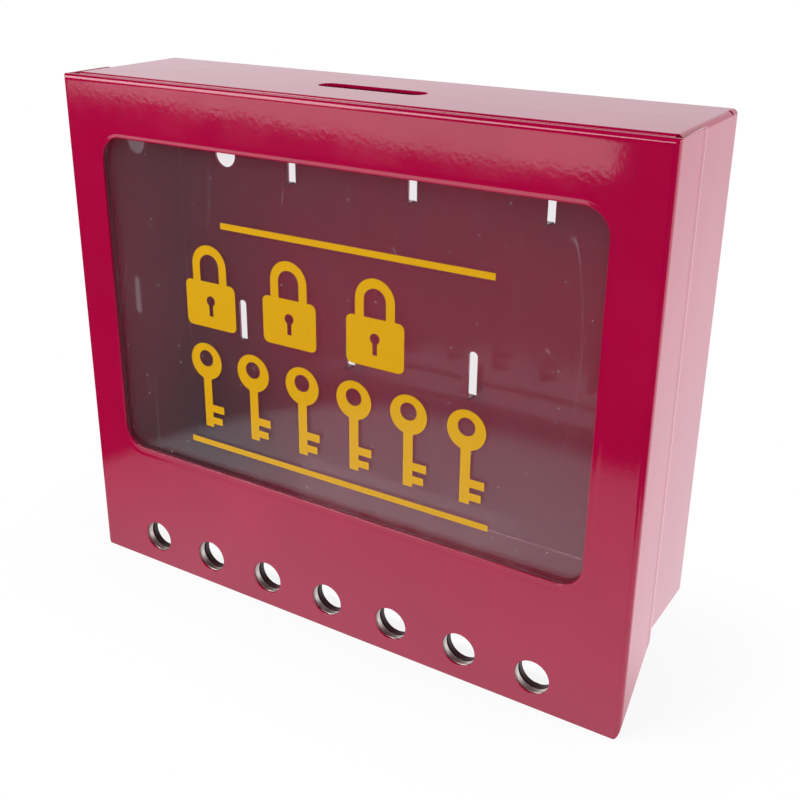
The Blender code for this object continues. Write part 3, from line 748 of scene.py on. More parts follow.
def closed_cell_foam(tree, spot, finishes):
    """Closed-cell rubber foam, cut from sheet: dark red and matt, with cells of about 0.8 mm. Its dark red is
    partly the gasket's own colour and partly painted reflection, the cover's red mirrored in the pane along
    the window's rim.
    """
    cells = add_node(tree, "TexVoronoi", {"Vector": spot, "Scale": 1 / 0.0008})
    colour = mottled(tree, finishes.foam, cells, {"To Min": 0.7, "To Max": 1.3})
    pits = add_node(tree, "Bump", {"Height": cells, "Strength": 1.0, "Distance": 0.0001})
    return add_node(tree, "BsdfPrincipled", {"Base Color": colour, "Roughness": 0.9, "Normal": pits})


def screen_ink(tree, spot, finishes):
    """Solvent ink, screen-printed on plastic: an even, opaque yellow film with a slight gloss. The mesh's
    weave is too fine to show, so its unevenness is drawn in patches of about 1 mm."""
    weave = add_node(tree, "TexNoise", {"Vector": spot, "Scale": 1 / 0.001, "Detail": 2.0})
    colour = mottled(tree, finishes.ink, weave, {"To Min": 0.94, "To Max": 1.06})
    rough = add_node(tree, "MapRange", {"Value": weave, "To Min": 0.12, "To Max": 0.2})
    return add_node(tree, "BsdfPrincipled", {"Base Color": colour, "Roughness": rough, "IOR": 1.48})


def beyond_box(tree, spot, shift=0.0):
    """How far a point of the floor lies beyond the box's footprint, along X and along Y."""
    low, high = cad_bounds
    middle = (low + high) / 2
    half = (high - low) / 2
    away = add_node(tree, "VectorMath", {0: spot, 1: (middle.x + shift, middle.y, 0)}, operation="SUBTRACT")
    away = add_node(tree, "VectorMath", {0: away}, operation="ABSOLUTE")
    return add_node(tree, "VectorMath", {0: away, 1: (half.x, half.y, 1)}, operation="SUBTRACT")


def distance_beyond(tree, away, reach=(1, 1)):
    """Distance from the footprint, nought under it, in units of a reach along X and along Y."""
    away = add_node(tree, "VectorMath", {0: away, 1: (0, 0, 0)}, operation="MAXIMUM")
    away = add_node(tree, "VectorMath", {0: away, 1: (1 / reach[0], 1 / reach[1], 0)}, operation="MULTIPLY")
    return add_node(tree, "VectorMath", {0: away}, operation="LENGTH")


def plain_to_the_eye(tree, path, behind, level):
    """Colour and strength of a white that is plain to the camera, and through the pane where it lies behind
    the box. To all else it has the room's tint and a level of its own."""
    passed = add_node(tree, "Math", {0: path.outputs["Is Transmission Ray"], 1: behind}, operation="MULTIPLY")
    seen = add_node(tree, "Math", {0: path.outputs["Is Camera Ray"], 1: passed}, operation="MAXIMUM")
    strength = add_node(tree, "Mix", {"Factor": seen, "A": level, "B": 1.0})
    tint = add_node(tree, "Mix", {"Factor": seen, "A": ROOM_TINT, "B": PLAIN_WHITE}, data_type="RGBA")
    return {"Color": tint, "Strength": strength}


def paper_and_mirrored_glow(tree, spot, finishes):
    """Matt white seamless paper: no gloss, and a fibre that only just mottles it, in patches of about 4 mm.
    Away from the box, and under it, it is plain white to the eye. What the gloss mirrors in it is a painted
    reflection: it glows, though it is no lamp, in a patch before and beside the box that dims away from it,
    nearly black further out in front and brighter than white behind."""
    fibre = add_node(tree, "TexNoise", {"Vector": spot, "Scale": 1 / 0.004, "Detail": 2.0})
    colour = mottled(tree, finishes.ground, fibre,
                     {"From Min": 0.3, "From Max": 0.7, "To Min": 0.995, "To Max": 1.005})
    paper = add_node(tree, "BsdfDiffuse", {"Color": colour})
    glow_patch_shift = 0.06
    glow_patch_reach = (0.145, 0.252)
    low, high = cad_bounds
    away = beyond_box(tree, spot)
    edge = add_node(tree, "SeparateXYZ", {"Vector": away})
    edge = add_node(tree, "Math", {0: edge.outputs["X"], 1: edge.outputs["Y"]}, operation="MAXIMUM")
    under = add_node(tree, "MapRange", {"Value": edge, "From Min": 0.004, "From Max": -0.03},
                     interpolation_type="SMOOTHSTEP")
    span = distance_beyond(tree, away)
    fade = add_node(tree, "MapRange", {"Value": span, "From Max": 0.09, "To Min": 0.88},
                    interpolation_type="SMOOTHSTEP")
    fade = add_node(tree, "Math", {0: fade, 1: under}, operation="MAXIMUM")
    along = add_node(tree, "SeparateXYZ", {"Vector": spot})
    behind = add_node(tree, "MapRange", {"Value": along.outputs["Y"], "From Min": low.y, "From Max": high.y},
                      interpolation_type="SMOOTHSTEP")
    path = add_node(tree, "LightPath")
    bent = add_node(tree, "Math", {0: path.outputs["Is Transmission Ray"], 1: path.outputs["Is Camera Ray"]},
                    operation="MAXIMUM")
    share = add_node(tree, "Math", {0: fade, 1: bent}, operation="MULTIPLY")
    share = add_node(tree, "Math", {0: share, 1: path.outputs["Is Glossy Ray"]}, operation="MAXIMUM")
    # Painted reflection: the glowing patch that only mirrored rays see.
    reach = distance_beyond(tree, beyond_box(tree, spot, glow_patch_shift), glow_patch_reach)
    slope = add_node(tree, "MapRange", {"Value": reach, "From Max": 0.95, "To Min": 0.9, "To Max": 0.48})
    front = add_node(tree, "MapRange",
                     {"Value": reach, "From Min": 0.9, "From Max": 1.05, "To Min": slope, "To Max": 0.02},
                     interpolation_type="SMOOTHSTEP")
    rear = add_node(tree, "MapRange", {"Value": reach, "From Max": 5.0, "To Min": 1.5, "To Max": 1.3})
    gloss = add_node(tree, "Mix", {"Factor": behind, "A": front, "B": rear})
    # To mirrored rays the paper glows at this level, a painted reflection; to the camera it is plain white.
    white = add_node(tree, "Emission", plain_to_the_eye(tree, path, behind, gloss))
    return add_node(tree, "MixShader", {"Fac": share, 1: paper, 2: white})


# Pieces


class BuildCover(bpy.types.Operator):
    """Build the folded cover, with its window and padlock holes"""

    bl_idname = "lockbox.cover"
    bl_label = "Cover"
    bl_options = {"REGISTER", "UNDO"}

    def execute(self, context):
        scene = context.scene
        sizes = scene.lockbox_cover
        steps = scene.lockbox_sheet.bend_steps
        radius = sizes.bend_radius
        flat = sizes.width / 2 - radius
        crest = sizes.height - radius
        mesh = bmesh.new()
        holes = [window_outline(sizes, MARK_REACH_SHARE * sizes.mark_offset),
                 *padlock_holes(scene.lockbox_holes)]
        ring, window = fill(mesh, rectangle(-flat, 0, flat, crest), holes,
                            lambda x, height: place(x, 0, height), EDGE_STRIP)[:2]
        for growth, dent in MARK_SHARES:
            rim = [mesh.verts.new(place(x, dent * sizes.mark_depth, height))
                   for x, height in window_outline(sizes, growth * sizes.mark_offset)]
            wrap(mesh, window, rim)
            window = rim
        turns = [radians(90) * step / steps for step in range(1, steps + 1)]
        ends = []
        for lower, upper, hand in ((ring[1], ring[2], 1), (ring[0], ring[3], -1)):
            edge = hand * (flat + radius)
            tops = []
            for turn in turns:
                depth = radius * (1 - cos(turn))
                swing = radius * sin(turn)
                x = hand * (flat + swing)
                row = [mesh.verts.new(place(x, depth, self.taper(sizes, depth))),
                       mesh.verts.new(place(x, depth, crest + swing))]
                bridge(mesh, [lower, upper], row)
                lower, upper = row
                tops.append(upper)
            tops.append(mesh.verts.new(place(edge, radius + sizes.return_flat, sizes.height)))
            crest_depth = sizes.flange_depth - sizes.bead_width
            foot = mesh.verts.new(place(edge, radius + sizes.return_flat, self.taper(sizes, depth)))
            mesh.faces.new([lower, foot, tops[-1], upper])
            row = [foot, tops[-1]]
            for distance, sink in BEAD_SHARES:
                depth = crest_depth + distance * sizes.bead_width
                x = edge - hand * sink * sizes.bead_height
                strip = [mesh.verts.new(place(x, depth, self.taper(sizes, depth))),
                         mesh.verts.new(place(x, depth, sizes.height))]
                bridge(mesh, row, strip)
                row = strip
            ends.append(tops)
        row = [ring[2], ring[3]]
        for pair in zip(*ends):
            bridge(mesh, row, pair)
            row = pair
        add_piece("cover_shell", mesh, "cover", finished(gloss_powder_coat, scene), ["cover"],
                  scene.lockbox_sheet.edge_radius, scene.lockbox_sheet.thickness)
        return {"FINISHED"}

    def taper(self, sizes, depth):
        """Height of a flange's lower edge: steep around the fold, then a straight taper."""
        rise = (sizes.taper_rear - sizes.taper_front) / sizes.flange_depth
        if depth >= sizes.bend_radius:
            return sizes.taper_front + rise * depth
        return (sizes.taper_front + rise * sizes.bend_radius) * depth / sizes.bend_radius


class BuildLockBar(bpy.types.Operator):
    """Build the bare bar behind the padlock holes"""

    bl_idname = "lockbox.lock_bar"
    bl_label = "Lock bar"
    bl_options = {"REGISTER", "UNDO"}

    def execute(self, context):
        scene = context.scene
        half = box_size("lock_bar", 0) / 2
        outline = rectangle(-half, node_height("lock_bar"), half, node_height("lock_bar", True))
        mesh = bmesh.new()
        plate(mesh, outline, padlock_holes(scene.lockbox_holes), node_depth("lock_bar"),
              node_depth("lock_bar", True), lambda x, height, depth: place(x, depth, height))
        add_piece("lock_bar_flat", mesh, "cover", finished(cold_rolled_steel, scene),
                  ["lock_bar"], scene.lockbox_sheet.edge_radius)
        return {"FINISHED"}


class BuildWindow(bpy.types.Operator):
    """Build the clear pane and its gasket"""

    bl_idname = "lockbox.window"
    bl_label = "Window"
    bl_options = {"REGISTER", "UNDO"}

    def execute(self, context):
        scene = context.scene
        sizes = scene.lockbox_cover
        half = box_size("window_pane", 0) / 2
        outline = rounded_rectangle(-half, node_height("window_pane"), half, node_height("window_pane", True),
                                    scene.lockbox_pane.corner_radius)
        openings = {"window_gasket": [window_outline(sizes, scene.lockbox_pane.gasket_setback)],
                    "window_pane": []}
        finishes = {"window_gasket": finished(closed_cell_foam, scene),
                    "window_pane": finished(clear_polycarbonate, scene)}
        for node, holes in openings.items():
            mesh = bmesh.new()
            plate(mesh, outline, holes, node_depth(node), node_depth(node, True),
                  lambda x, height, depth: place(x, depth, height))
            add_piece(node + "_sheet", mesh, "cover", finishes[node], [node],
                      scene.lockbox_sheet.edge_radius)
        return {"FINISHED"}


class BuildPrint(bpy.types.Operator):
    """Print two rules, a row of padlocks and a row of keys on the pane"""

    bl_idname = "lockbox.print"
    bl_label = "Print"
    bl_options = {"REGISTER", "UNDO"}

    def execute(self, context):
        scene = context.scene
        sizes = scene.lockbox_print
        mesh = bmesh.new()
        for left, right, height in (sizes.upper_rule, sizes.lower_rule):
            half = sizes.rule_width / 2
            self.stamp(mesh, rectangle(left, height - half, right, height + half), [], sizes)
        first, last, foot = sizes.padlock_row
        for x in spread(first, last, sizes.padlock_count):
            self.stamp(mesh, *self.padlock(x, foot, sizes), sizes)
        first, last, foot = sizes.key_row
        for x in spread(first, last, sizes.key_count):
            self.stamp(mesh, *self.key(x, foot, sizes), sizes)
        add_piece("pane_print", mesh, "cover", finished(screen_ink, scene), [])
        return {"FINISHED"}

    def stamp(self, mesh, outline, holes, sizes):
        """Lay one printed shape on the pane's front."""
        back = node_depth("window_pane")
        plate(mesh, outline, holes, back - sizes.film, back, lambda x, height, depth: place(x, depth, height))

    def padlock(self, x, foot, sizes):
        """Outline and holes of a padlock standing on its foot."""
        width = sizes.padlock_width
        shoulder = foot + sizes.padlock_height * 0.56
        outer = width * 0.34
        inner = width * 0.19
        spring = foot + sizes.padlock_height - outer
        corner = width * 0.1
        half = width / 2
        outline = arc((x - half + corner, foot + corner), corner, 180, 270, PRINT_CORNER_STEPS)
        outline += arc((x + half - corner, foot + corner), corner, 270, 360, PRINT_CORNER_STEPS)
        outline += arc((x + half - corner, shoulder - corner), corner, 0, 90, PRINT_CORNER_STEPS)
        outline.append((x + outer, shoulder))
        outline += arc((x, spring), outer, 0, 180, PRINT_BOW_STEPS)
        outline.append((x - outer, shoulder))
        outline += arc((x - half + corner, shoulder - corner), corner, 90, 180, PRINT_CORNER_STEPS)
        bow = [(x + inner, shoulder), *arc((x, spring), inner, 0, 180, PRINT_EYE_STEPS),
               (x - inner, shoulder)]
        eye = width * 0.085
        slot = width * 0.04
        middle = foot + sizes.padlock_height * 0.33
        keyhole = arc((x, middle), eye, -62, 242, PRINT_EYE_STEPS)
        keyhole += [(x - slot, middle - 3 * eye), (x + slot, middle - 3 * eye)]
        return outline, [bow, keyhole]

    def key(self, x, foot, sizes):
        """Outline and hole of a key hanging by its bow, with its bits to the right."""
        bow = sizes.key_width / 2
        top = foot + sizes.key_height - bow
        stem = sizes.key_width * 0.13
        tooth = sizes.key_width * 0.3
        step = sizes.key_height * 0.075
        outline = arc((x, top), bow, -74, 254, PRINT_KEY_STEPS)
        bits = [(-stem, 0), (stem, 0), (stem, step * 0.6), (stem + tooth, step * 0.6),
                (stem + tooth, step * 1.7), (stem, step * 1.7), (stem, step * 2.5),
                (stem + tooth * 1.25, step * 2.5), (stem + tooth * 1.25, step * 3.7), (stem, step * 3.7)]
        outline.append((x - stem, top - bow))
        outline += [(x + across, foot + up) for across, up in bits]
        outline.append((x + stem, top - bow))
        return outline, [circle((x, top + bow * 0.16), bow * 0.9, PRINT_KEY_SIDES)]


class BuildRetainers(bpy.types.Operator):
    """Build the strips, studs and nuts that clamp the pane"""

    bl_idname = "lockbox.retainers"
    bl_label = "Retainers"
    bl_options = {"REGISTER", "UNDO"}

    def execute(self, context):
        scene = context.scene
        sizes = scene.lockbox_pane
        zinc = finished(zinc_plate, scene)
        studs = [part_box(node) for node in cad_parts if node.startswith("retainer_stud")]
        centres = [(low + high) / 2 for low, high in studs]
        for side in ("bottom", "top", "left", "right"):
            node = "retainer_" + side
            low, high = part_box(node)
            bore = sizes.stud_diameter + 2 * scene.lockbox_angle.hole_clearance
            inside = [spot for spot in centres if low.x < spot.x < high.x and low.z < spot.z < high.z]
            holes = [circle((spot.x, spot.z), bore, BORE_SIDES) for spot in inside]
            mesh = bmesh.new()
            plate(mesh, rectangle(low.x, low.z, high.x, high.z), holes, low.y, high.y,
                  lambda x, height, depth: Vector((x, depth, height)))
            add_piece(node + "_strip", mesh, "cover", zinc, [node], STRIP_EASE)
        stand_copies("retainer_stud", "_turned", "cover", zinc, 1,
                     lambda mesh, length: self.stud(mesh, length, sizes))
        stand_copies("retainer_nut", "_turned", "cover", zinc, 1,
                     lambda mesh, length: self.nut(mesh, length, sizes))
        return {"FINISHED"}

    def stud(self, mesh, length, sizes):
        """A threaded stud along +Y from the origin, with a pointed end."""
        sides = THREAD_SIDES
        rows_per_turn = 5
        groove_share = 0.45
        tip_taper = 0.7
        tip_step = 0.0003
        step = sizes.thread_pitch / rows_per_turn
        count = int(length / step)
        crest = sizes.stud_diameter / 2
        groove = sizes.thread_pitch * groove_share
        rings = []
        for row in range(count + 1):
            along = length * row / count
            ring = []
            for side in range(sides):
                phase = (along / sizes.thread_pitch - side / sides) % 1
                radius = crest - groove * abs(2 * phase - 1)
                radius = min(radius, crest - tip_step + (length - along) * tip_taper)
                turn = 2 * pi * side / sides
                ring.append(mesh.verts.new((radius * cos(turn), along, radius * sin(turn))))
            rings.append(ring)
        for near, far in zip(rings, rings[1:]):
            wrap(mesh, near, far)
        mesh.faces.new(rings[0])
        mesh.faces.new(rings[-1])

    def nut(self, mesh, length, sizes):
        """A hex nut along +Y from the origin, chamfered on both faces, with a flat up."""
        sides = NUT_SIDES
        flat = sizes.nut_flats / 2
        face_share = 0.94
        face = flat * face_share
        play = 0.0002
        chamfer = 0.0003
        bore = sizes.stud_diameter / 2 + play
        rings = []
        for kind in range(8):
            ring = []
            for side in range(sides):
                turn = 2 * pi * side / sides
                sector = (turn + pi / 6) % (pi / 3) - pi / 6
                corner = flat / cos(sector)
                slope = (corner - face) * tan(radians(30))
                spots = [(bore, chamfer), (bore + chamfer, 0), (face, 0), (corner, slope),
                         (corner, length - slope), (face, length), (bore + chamfer, length),
                         (bore, length - chamfer)]
                radius, along = spots[kind]
                ring.append(mesh.verts.new((radius * sin(turn), along, radius * cos(turn))))
            rings.append(ring)
        for near, far in zip(rings, rings[1:] + rings[:1]):
            wrap(mesh, near, far)


class BuildHinge(bpy.types.Operator):
    """Build the two rolled leaves and the wire"""

    bl_idname = "lockbox.hinge"
    bl_label = "Hinge"
    bl_options = {"REGISTER", "UNDO"}

    def execute(self, context):
        scene = context.scene
        sizes = scene.lockbox_hinge
        bore = sizes.pin_diameter / 2 + sizes.clearance
        wall = bore + sizes.leaf / 2
        low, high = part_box("hinge_pin")
        axis = (low + high) / 2
        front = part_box("hinge_leaf_cover")[0].y
        seat = axis.y - front - sizes.leaf / 2
        top = sizes.neck + sizes.lead
        crank = [(-wall, -sizes.neck), (-wall, -top), (-seat, -top - sizes.crank), (-seat, -sizes.drop)]
        straight = [(-wall, -sizes.neck), (-wall, -sizes.drop)]
        length = box_size("hinge_pin", 0)
        pitch = length / sizes.knuckles
        paint = finished(gloss_powder_coat, scene)
        for name, path, side, first, body in (("hinge_leaf_cover", crank, 1, 1, "cover"),
                                              ("hinge_leaf_base", straight, -1, 0, "base")):
            spans = [(low.x + pitch * index + sizes.gap / 2, low.x + pitch * (index + 1) - sizes.gap / 2)
                     for index in range(first, sizes.knuckles, 2)]
            leaf = [(side * across, up) for across, up in strip_outline(path, sizes.leaf)]
            curl = [(side * across, up) for across, up in self.rolled(bore, sizes)]
            mesh = bmesh.new()
            self.leaf(mesh, leaf, curl, spans, axis, low.x, high.x)
            add_piece(name + "_rolled", mesh, body, paint, [name], LEAF_EASE)
        mesh = bmesh.new()
        radius = sizes.pin_diameter / 2
        tip = radius * 0.6
        chamfer = radius * 0.4
        profile = [(tip, 0), (radius, chamfer), (radius, length - chamfer), (tip, length)]
        turned(mesh, profile, WIRE_SIDES, lambda x, y, along: Vector((low.x + along, axis.y + x, axis.z + y)))
        add_piece("hinge_wire", mesh, "base", finished(zinc_plate, scene), ["hinge_pin"])
        return {"FINISHED"}

    def rolled(self, bore, sizes):
        """A knuckle's rolled section on the front side of the axis, from its outer to its inner start."""
        end = 180 - degrees(sizes.curl)
        return arc((0, 0), bore + sizes.leaf, 180, end, CURL_STEPS) + arc((0, 0), bore, end, 180, CURL_STEPS)

    def leaf(self, mesh, leaf, curl, spans, axis, start, end):
        """Add a hinge leaf along X, with its rolled knuckles on the edge from its last to its first point."""
        def row(points, station):
            return [mesh.verts.new((station, axis.y + across, axis.z + up)) for across, up in points]

        stations = sorted({start, end, *(edge for span in spans for edge in span)})
        rings = [row(leaf, station) for station in stations]
        for near, far, left, right in zip(rings, rings[1:], stations, stations[1:]):
            bridge(mesh, near, far)
            if (left, right) not in spans:
                bridge(mesh, [near[-1], near[0]], [far[-1], far[0]])
                continue
            near_curl = [near[-1], *row(curl, left), near[0]]
            far_curl = [far[-1], *row(curl, right), far[0]]
            bridge(mesh, near_curl, far_curl)
            mesh.faces.new(near_curl)
            mesh.faces.new(far_curl)
        mesh.faces.new(rings[0])
        mesh.faces.new(rings[-1])


class BuildBox(bpy.types.Operator):
    """Build the folded box, with its lip, key slot, keyholes and hooks"""

    bl_idname = "lockbox.box"
    bl_label = "Box"
    bl_options = {"REGISTER", "UNDO"}

    def execute(self, context):
        scene = context.scene
        sizes = scene.lockbox_box
        steps = scene.lockbox_sheet.bend_steps
        low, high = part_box("base_box")
        mouth = low.y + sizes.lip_radius
        mesh = bmesh.new()
        bmesh.ops.create_cube(mesh, size=1)
        inner = Vector((low.x, mouth, low.z))
        for vertex in mesh.verts:
            vertex.co = (vertex.co + Vector((0.5, 0.5, 0.5))) * (high - inner) + inner
        mesh.normal_update()
        front = min(mesh.faces, key=lambda face: face.calc_center_median().y)
        bmesh.ops.delete(mesh, geom=[front], context="FACES_ONLY")
        folds = [edge for edge in mesh.edges if not edge.is_boundary]
        bmesh.ops.bevel(mesh, geom=folds, offset=sizes.bend_radius, offset_type="OFFSET", segments=steps,
                        profile=0.5, affect="EDGES")
        self.pierce(mesh, "y", self.back_holes(scene))
        middle = (0, low.y - node_depth("base_box") + sizes.slot_depth)
        self.pierce(mesh, "z", [level_slot(middle, sizes.slot_width, sizes.slot_length)])
        self.lip(mesh, sizes, steps, low, high)
        paint = finished(gloss_powder_coat, scene)
        sheet = scene.lockbox_sheet
        box = add_piece("box_shell", mesh, "base", paint, ["base_box"], sheet.edge_radius,
                        sheet.thickness)
        self.notch(box, sizes, sheet.thickness, high)
        mesh = bmesh.new()
        hooks = scene.lockbox_hooks
        middle = node_depth("base_box", True) - sheet.thickness / 2
        for x, height in self.hook_places(hooks):
            outline = strip_outline(self.hook_path(hooks), hooks.thickness)
            plate(mesh, outline, [], x - hooks.width / 2, x + hooks.width / 2,
                  lambda across, up, level, height=height: place(level, middle + across, height + up))
        add_piece("key_hooks", mesh, "base", paint, ["base_box"], HOOK_EASE)
        return {"FINISHED"}

    def pierce(self, mesh, axis, holes):
        """Cut holes in the flat face that lies furthest along an axis."""
        def reach(item):
            return round(getattr(item.calc_center_median(), axis), 5), item.calc_area()

        face = max(mesh.faces, key=reach)
        edges = list(face.edges)
        level = getattr(face.calc_center_median(), axis)
        mesh.faces.remove(face)
        before = set(mesh.verts)
        for hole in holes:
            edge_ring(mesh, hole, EDGE_STRIP, edges)
        for vertex in set(mesh.verts) - before:
            x, y, _ = vertex.co
            vertex.co = (x, level, y) if axis == "y" else (x, y, level)
        bmesh.ops.triangle_fill(mesh, edges=edges, use_beauty=True)

    def back_holes(self, scene):
        """Hook slots and keyholes, in the model's own heights."""
        sizes = scene.lockbox_box
        hooks = scene.lockbox_hooks
        holes = [upright_slot(x, height, hooks.slot_width, hooks.slot_length)
                 for x, height in self.hook_places(hooks)]
        half = sizes.keyhole_spacing / 2
        holes += [keyhole_outline(x, sizes) for x in (-half, half)]
        return [[(x, height + cover_corner.z) for x, height in hole] for hole in holes]

    def hook_places(self, hooks):
        """Centre and slot bottom of each key hook."""
        rows = ((hooks.upper_count, hooks.upper_height), (hooks.lower_count, hooks.lower_height))
        half = hooks.pitch / 2
        return [(x, height) for count, height in rows
                for x in spread(half - half * count, half * count - half, count)]

    def hook_path(self, hooks):
        """Middle line of a hook seen from the side, from its root in the slot's bottom edge to its tip."""
        radius = hooks.bend_radius
        path = [(0, -hooks.root)]
        path += arc((-radius, hooks.lead), radius, 0, 90, HOOK_STEPS)
        path += arc((radius - hooks.reach, hooks.lead + 2 * radius), radius, 270, 180, HOOK_STEPS)
        return path + [(-hooks.reach, hooks.rise)]

    def lip(self, mesh, sizes, steps, low, high):
        """Fold the top's front edge down, behind the hinge."""
        least = (high.x - low.x) / 2
        edges = [edge for edge in mesh.edges if edge.is_boundary and edge.calc_length() > least]
        edge = max(edges, key=lambda item: item.verts[0].co.z + item.verts[1].co.z)
        radius = sizes.lip_radius
        profile = arc((low.y + radius, high.z - radius), radius, 90, 180, steps)[1:]
        for depth, height in profile + [(low.y, high.z - sizes.lip_drop)]:
            added = bmesh.ops.extrude_edge_only(mesh, edges=[edge])["geom"]
            for vertex in [item for item in added if isinstance(item, bmesh.types.BMVert)]:
                vertex.co = (vertex.co.x, depth, height)
            edge = next(item for item in added if isinstance(item, bmesh.types.BMEdge))

    def notch(self, box, sizes, sheet, high):
        """Cut the relief notches near the rear top corners."""
        mesh = bmesh.new()
        for x in spread(sheet - high.x, high.x - sheet, 2):
            outline = circle((x, high.y - sizes.notch_setback), sizes.notch_diameter, BORE_SIDES)
            plate(mesh, outline, [], high.z - sizes.notch_sink, high.z + sizes.notch_sink,
                  lambda across, along, level: Vector((across, along, level)))
        cutter = stand("notch_cutter", mesh_data("notch_cutter", mesh))
        cutter.hide_render = True
        cutter.display_type = "WIRE"
        cut = box.modifiers.new("notches", "BOOLEAN")
        cut.operation = "DIFFERENCE"
        cut.solver = "EXACT"
        cut.object = cutter
        box.modifiers.move(len(box.modifiers) - 1, 1)


class BuildLockAngle(bpy.types.Operator):
    """Build the lock angle and its rivets"""

    bl_idname = "lockbox.lock_angle"
    bl_label = "Lock angle"
    bl_options = {"REGISTER", "UNDO"}

    def execute(self, context):
        scene = context.scene
        sizes = scene.lockbox_angle
        half = box_size("lock_angle", 0) / 2
        front = node_depth("lock_angle")
        rear = node_depth("lock_angle", True)
        low = node_height("lock_angle")
        top = node_height("lock_angle", True)
        radius = sizes.bend_radius + sizes.thickness / 2
        mesh = bmesh.new()
        upright = fill(mesh, rectangle(-half, low, half, top - radius), padlock_holes(scene.lockbox_holes),
                       lambda x, height: place(x, front, height))[0]
        bore = sizes.rivet_diameter + 2 * sizes.hole_clearance
        rivets = spread(-sizes.rivet_reach, sizes.rivet_reach, sizes.rivet_count)
        holes = [circle((x, front + sizes.rivet_setback), bore, BORE_SIDES) for x in rivets]
        level = fill(mesh, rectangle(-half, front + radius, half, rear), holes,
                     lambda x, depth: place(x, depth, top))[0]
        row = [upright[3], upright[2]]
        for depth, height in arc((front + radius, top - radius), radius, 180, 90, FOLD_STEPS)[1:-1]:
            ends = [mesh.verts.new(place(x, depth, height)) for x in (-half, half)]
            bridge(mesh, row, ends)
            row = ends
        bridge(mesh, row, [level[0], level[1]])
        # The angle's dark brown coat is painted shade.
        add_piece("lock_angle_folded", mesh, "base", finished(painted_shade_coat, scene),
                  ["lock_angle"], scene.lockbox_sheet.edge_radius, sizes.thickness)
        stand_copies("lock_angle_rivet", "_domed", "base", finished(zinc_plate, scene), 2,
                     lambda mesh, length: self.rivet(mesh, length, sizes))
        return {"FINISHED"}

    def rivet(self, mesh, length, sizes):
        """A blind rivet up from the origin: a domed head, a shank and a set end."""
        head = sizes.head_diameter / 2
        tail = sizes.tail_diameter / 2
        shank = sizes.rivet_diameter / 2
        rim_share = 0.4
        end_share = 0.86
        turns = [radians(angle) for angle in range(15, 105, 15)]
        profile = [(head * sin(turn), sizes.head_height * (1 - cos(turn))) for turn in turns]
        profile += [(shank, sizes.head_height), (shank, length - sizes.tail_height),
                    (tail, length - sizes.tail_height)]
        profile += [(tail, length - sizes.tail_height * rim_share), (tail * end_share, length)]
        turned(mesh, profile, RIVET_SIDES, lambda x, y, along: Vector((x, y, along)))


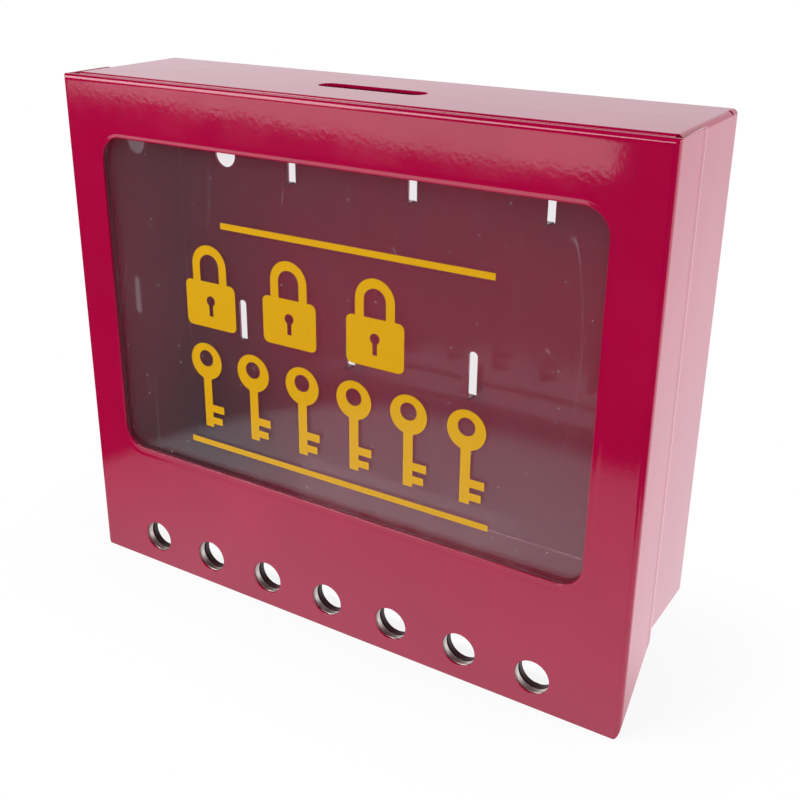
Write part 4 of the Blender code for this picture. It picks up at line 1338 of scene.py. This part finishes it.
class BuildStudio(bpy.types.Operator):
    """Set up the white sheet, the light and the camera"""

    bl_idname = "lockbox.studio"
    bl_label = "Studio"
    bl_options = {"REGISTER", "UNDO"}

    def execute(self, context):
        scene = context.scene
        studio = scene.lockbox_studio
        low, high = cad_bounds
        reach = studio.sheet_reach
        mesh = bmesh.new()
        fill(mesh, rectangle(-reach, -reach, reach, reach), [], lambda x, y: Vector((x, y, cover_corner.z)))
        # The sheet glows for mirrored rays, a painted reflection.
        sheet = stand("white_sheet", mesh_data("white_sheet", mesh, finished(paper_and_mirrored_glow, scene)))
        self.world(scene, studio)
        target = (low + high) / 2
        key = (studio.key_size, studio.key_size)
        self.lamp("key_lamp", studio.key_place, target, key, studio.key_power)
        side = (studio.side_size, studio.side_size)
        self.lamp("side_lamp", studio.side_place, target, side, studio.side_power)
        ahead = Vector(studio.card_place) + Vector((0, 1, 0))
        card = (studio.card_width, studio.card_height)
        self.lamp("lit_card", studio.card_place, ahead, card, studio.card_power, -studio.card_roll)
        self.camera(scene, studio)
        scene.view_settings.view_transform = "Standard"
        return {"FINISHED"}

    def world(self, scene, studio):
        """A room that is white behind the box and dim in front of it, behind a white background."""
        world = bpy.data.worlds.new("studio_world")
        world.use_nodes = True
        tree = world.node_tree
        tree.nodes.clear()
        heading = add_node(tree, "TexCoord").outputs["Generated"]
        along = add_node(tree, "SeparateXYZ", {"Vector": heading})
        ahead = add_node(tree, "MapRange", {"Value": along.outputs["Y"], "From Min": 0.35, "From Max": 0.65},
                         interpolation_type="SMOOTHSTEP")
        under = add_node(tree, "MapRange", {"Value": along.outputs["Z"], "From Min": 0.6, "From Max": 0.35},
                         interpolation_type="SMOOTHSTEP")
        white = add_node(tree, "Math", {0: ahead, 1: under}, operation="MULTIPLY")
        mirrored = add_node(tree, "MapRange",
                            {"Value": white, "To Min": studio.front_level, "To Max": studio.rear_level})
        path = add_node(tree, "LightPath")
        bent = add_node(tree, "Math",
                        {0: path.outputs["Is Glossy Ray"], 1: path.outputs["Is Transmission Ray"]},
                        operation="MAXIMUM")
        lit = add_node(tree, "Mix", {"Factor": bent, "A": studio.room_level, "B": mirrored})
        behind = add_node(tree, "Math", {0: along.outputs["Y"], 1: 0.0}, operation="GREATER_THAN")
        light = add_node(tree, "Background", plain_to_the_eye(tree, path, behind, lit))
        add_node(tree, "OutputWorld", {"Surface": light})
        scene.world = world

    def lamp(self, name, where, target, size, power, roll=0.0):
        """One soft lamp that faces a target."""
        light = bpy.data.lights.new(name, "AREA")
        light.shape = "RECTANGLE"
        light.size, light.size_y = size
        light.energy = power
        lamp = stand(name, light)
        lamp.location = where
        lamp.rotation_euler = (Vector(target) - Vector(where)).to_track_quat("-Z", "Y").to_euler()
        lamp.rotation_euler.rotate_axis("Z", roll)
        lamp.visible_camera = False

    def camera(self, scene, studio):
        """The camera at the photograph's place."""
        data = bpy.data.cameras.new("camera")
        data.lens = studio.lens
        data.shift_x, data.shift_y = studio.shift
        data.clip_start = 0.01
        camera = stand("camera", data)
        camera.location = studio.camera_place
        camera.rotation_euler = studio.camera_turn
        scene.camera = camera


OPERATORS = (BuildCover, BuildLockBar, BuildWindow, BuildPrint, BuildRetainers, BuildHinge, BuildBox,
             BuildLockAngle, BuildStudio)


class LockboxPanel(bpy.types.Panel):
    """Sizes, finishes and building steps of the lockout box"""

    bl_idname = "VIEW3D_PT_lockbox"
    bl_label = "Lockout box"
    bl_space_type = "VIEW_3D"
    bl_region_type = "UI"
    bl_category = "Lockout box"

    def draw(self, context):
        for operator in OPERATORS:
            self.layout.operator(operator.bl_idname)
        for name, group in GROUPS.items():
            column = self.layout.column(align=True)
            column.label(text=group.__doc__)
            for setting in group.__annotations__:
                column.prop(getattr(context.scene, name), setting)


def register():
    for item in (*GROUPS.values(), *OPERATORS, LockboxPanel):
        bpy.utils.register_class(item)
    for name, group in GROUPS.items():
        setattr(bpy.types.Scene, name, PointerProperty(type=group))


def unregister():
    for name in GROUPS:
        delattr(bpy.types.Scene, name)
    for item in reversed((*GROUPS.values(), *OPERATORS, LockboxPanel)):
        bpy.utils.unregister_class(item)


def main():
    register()
    for operator in OPERATORS:
        group, name = operator.bl_idname.split(".")
        getattr(getattr(bpy.ops, group), name)()


if __name__ == "__main__":
    main()
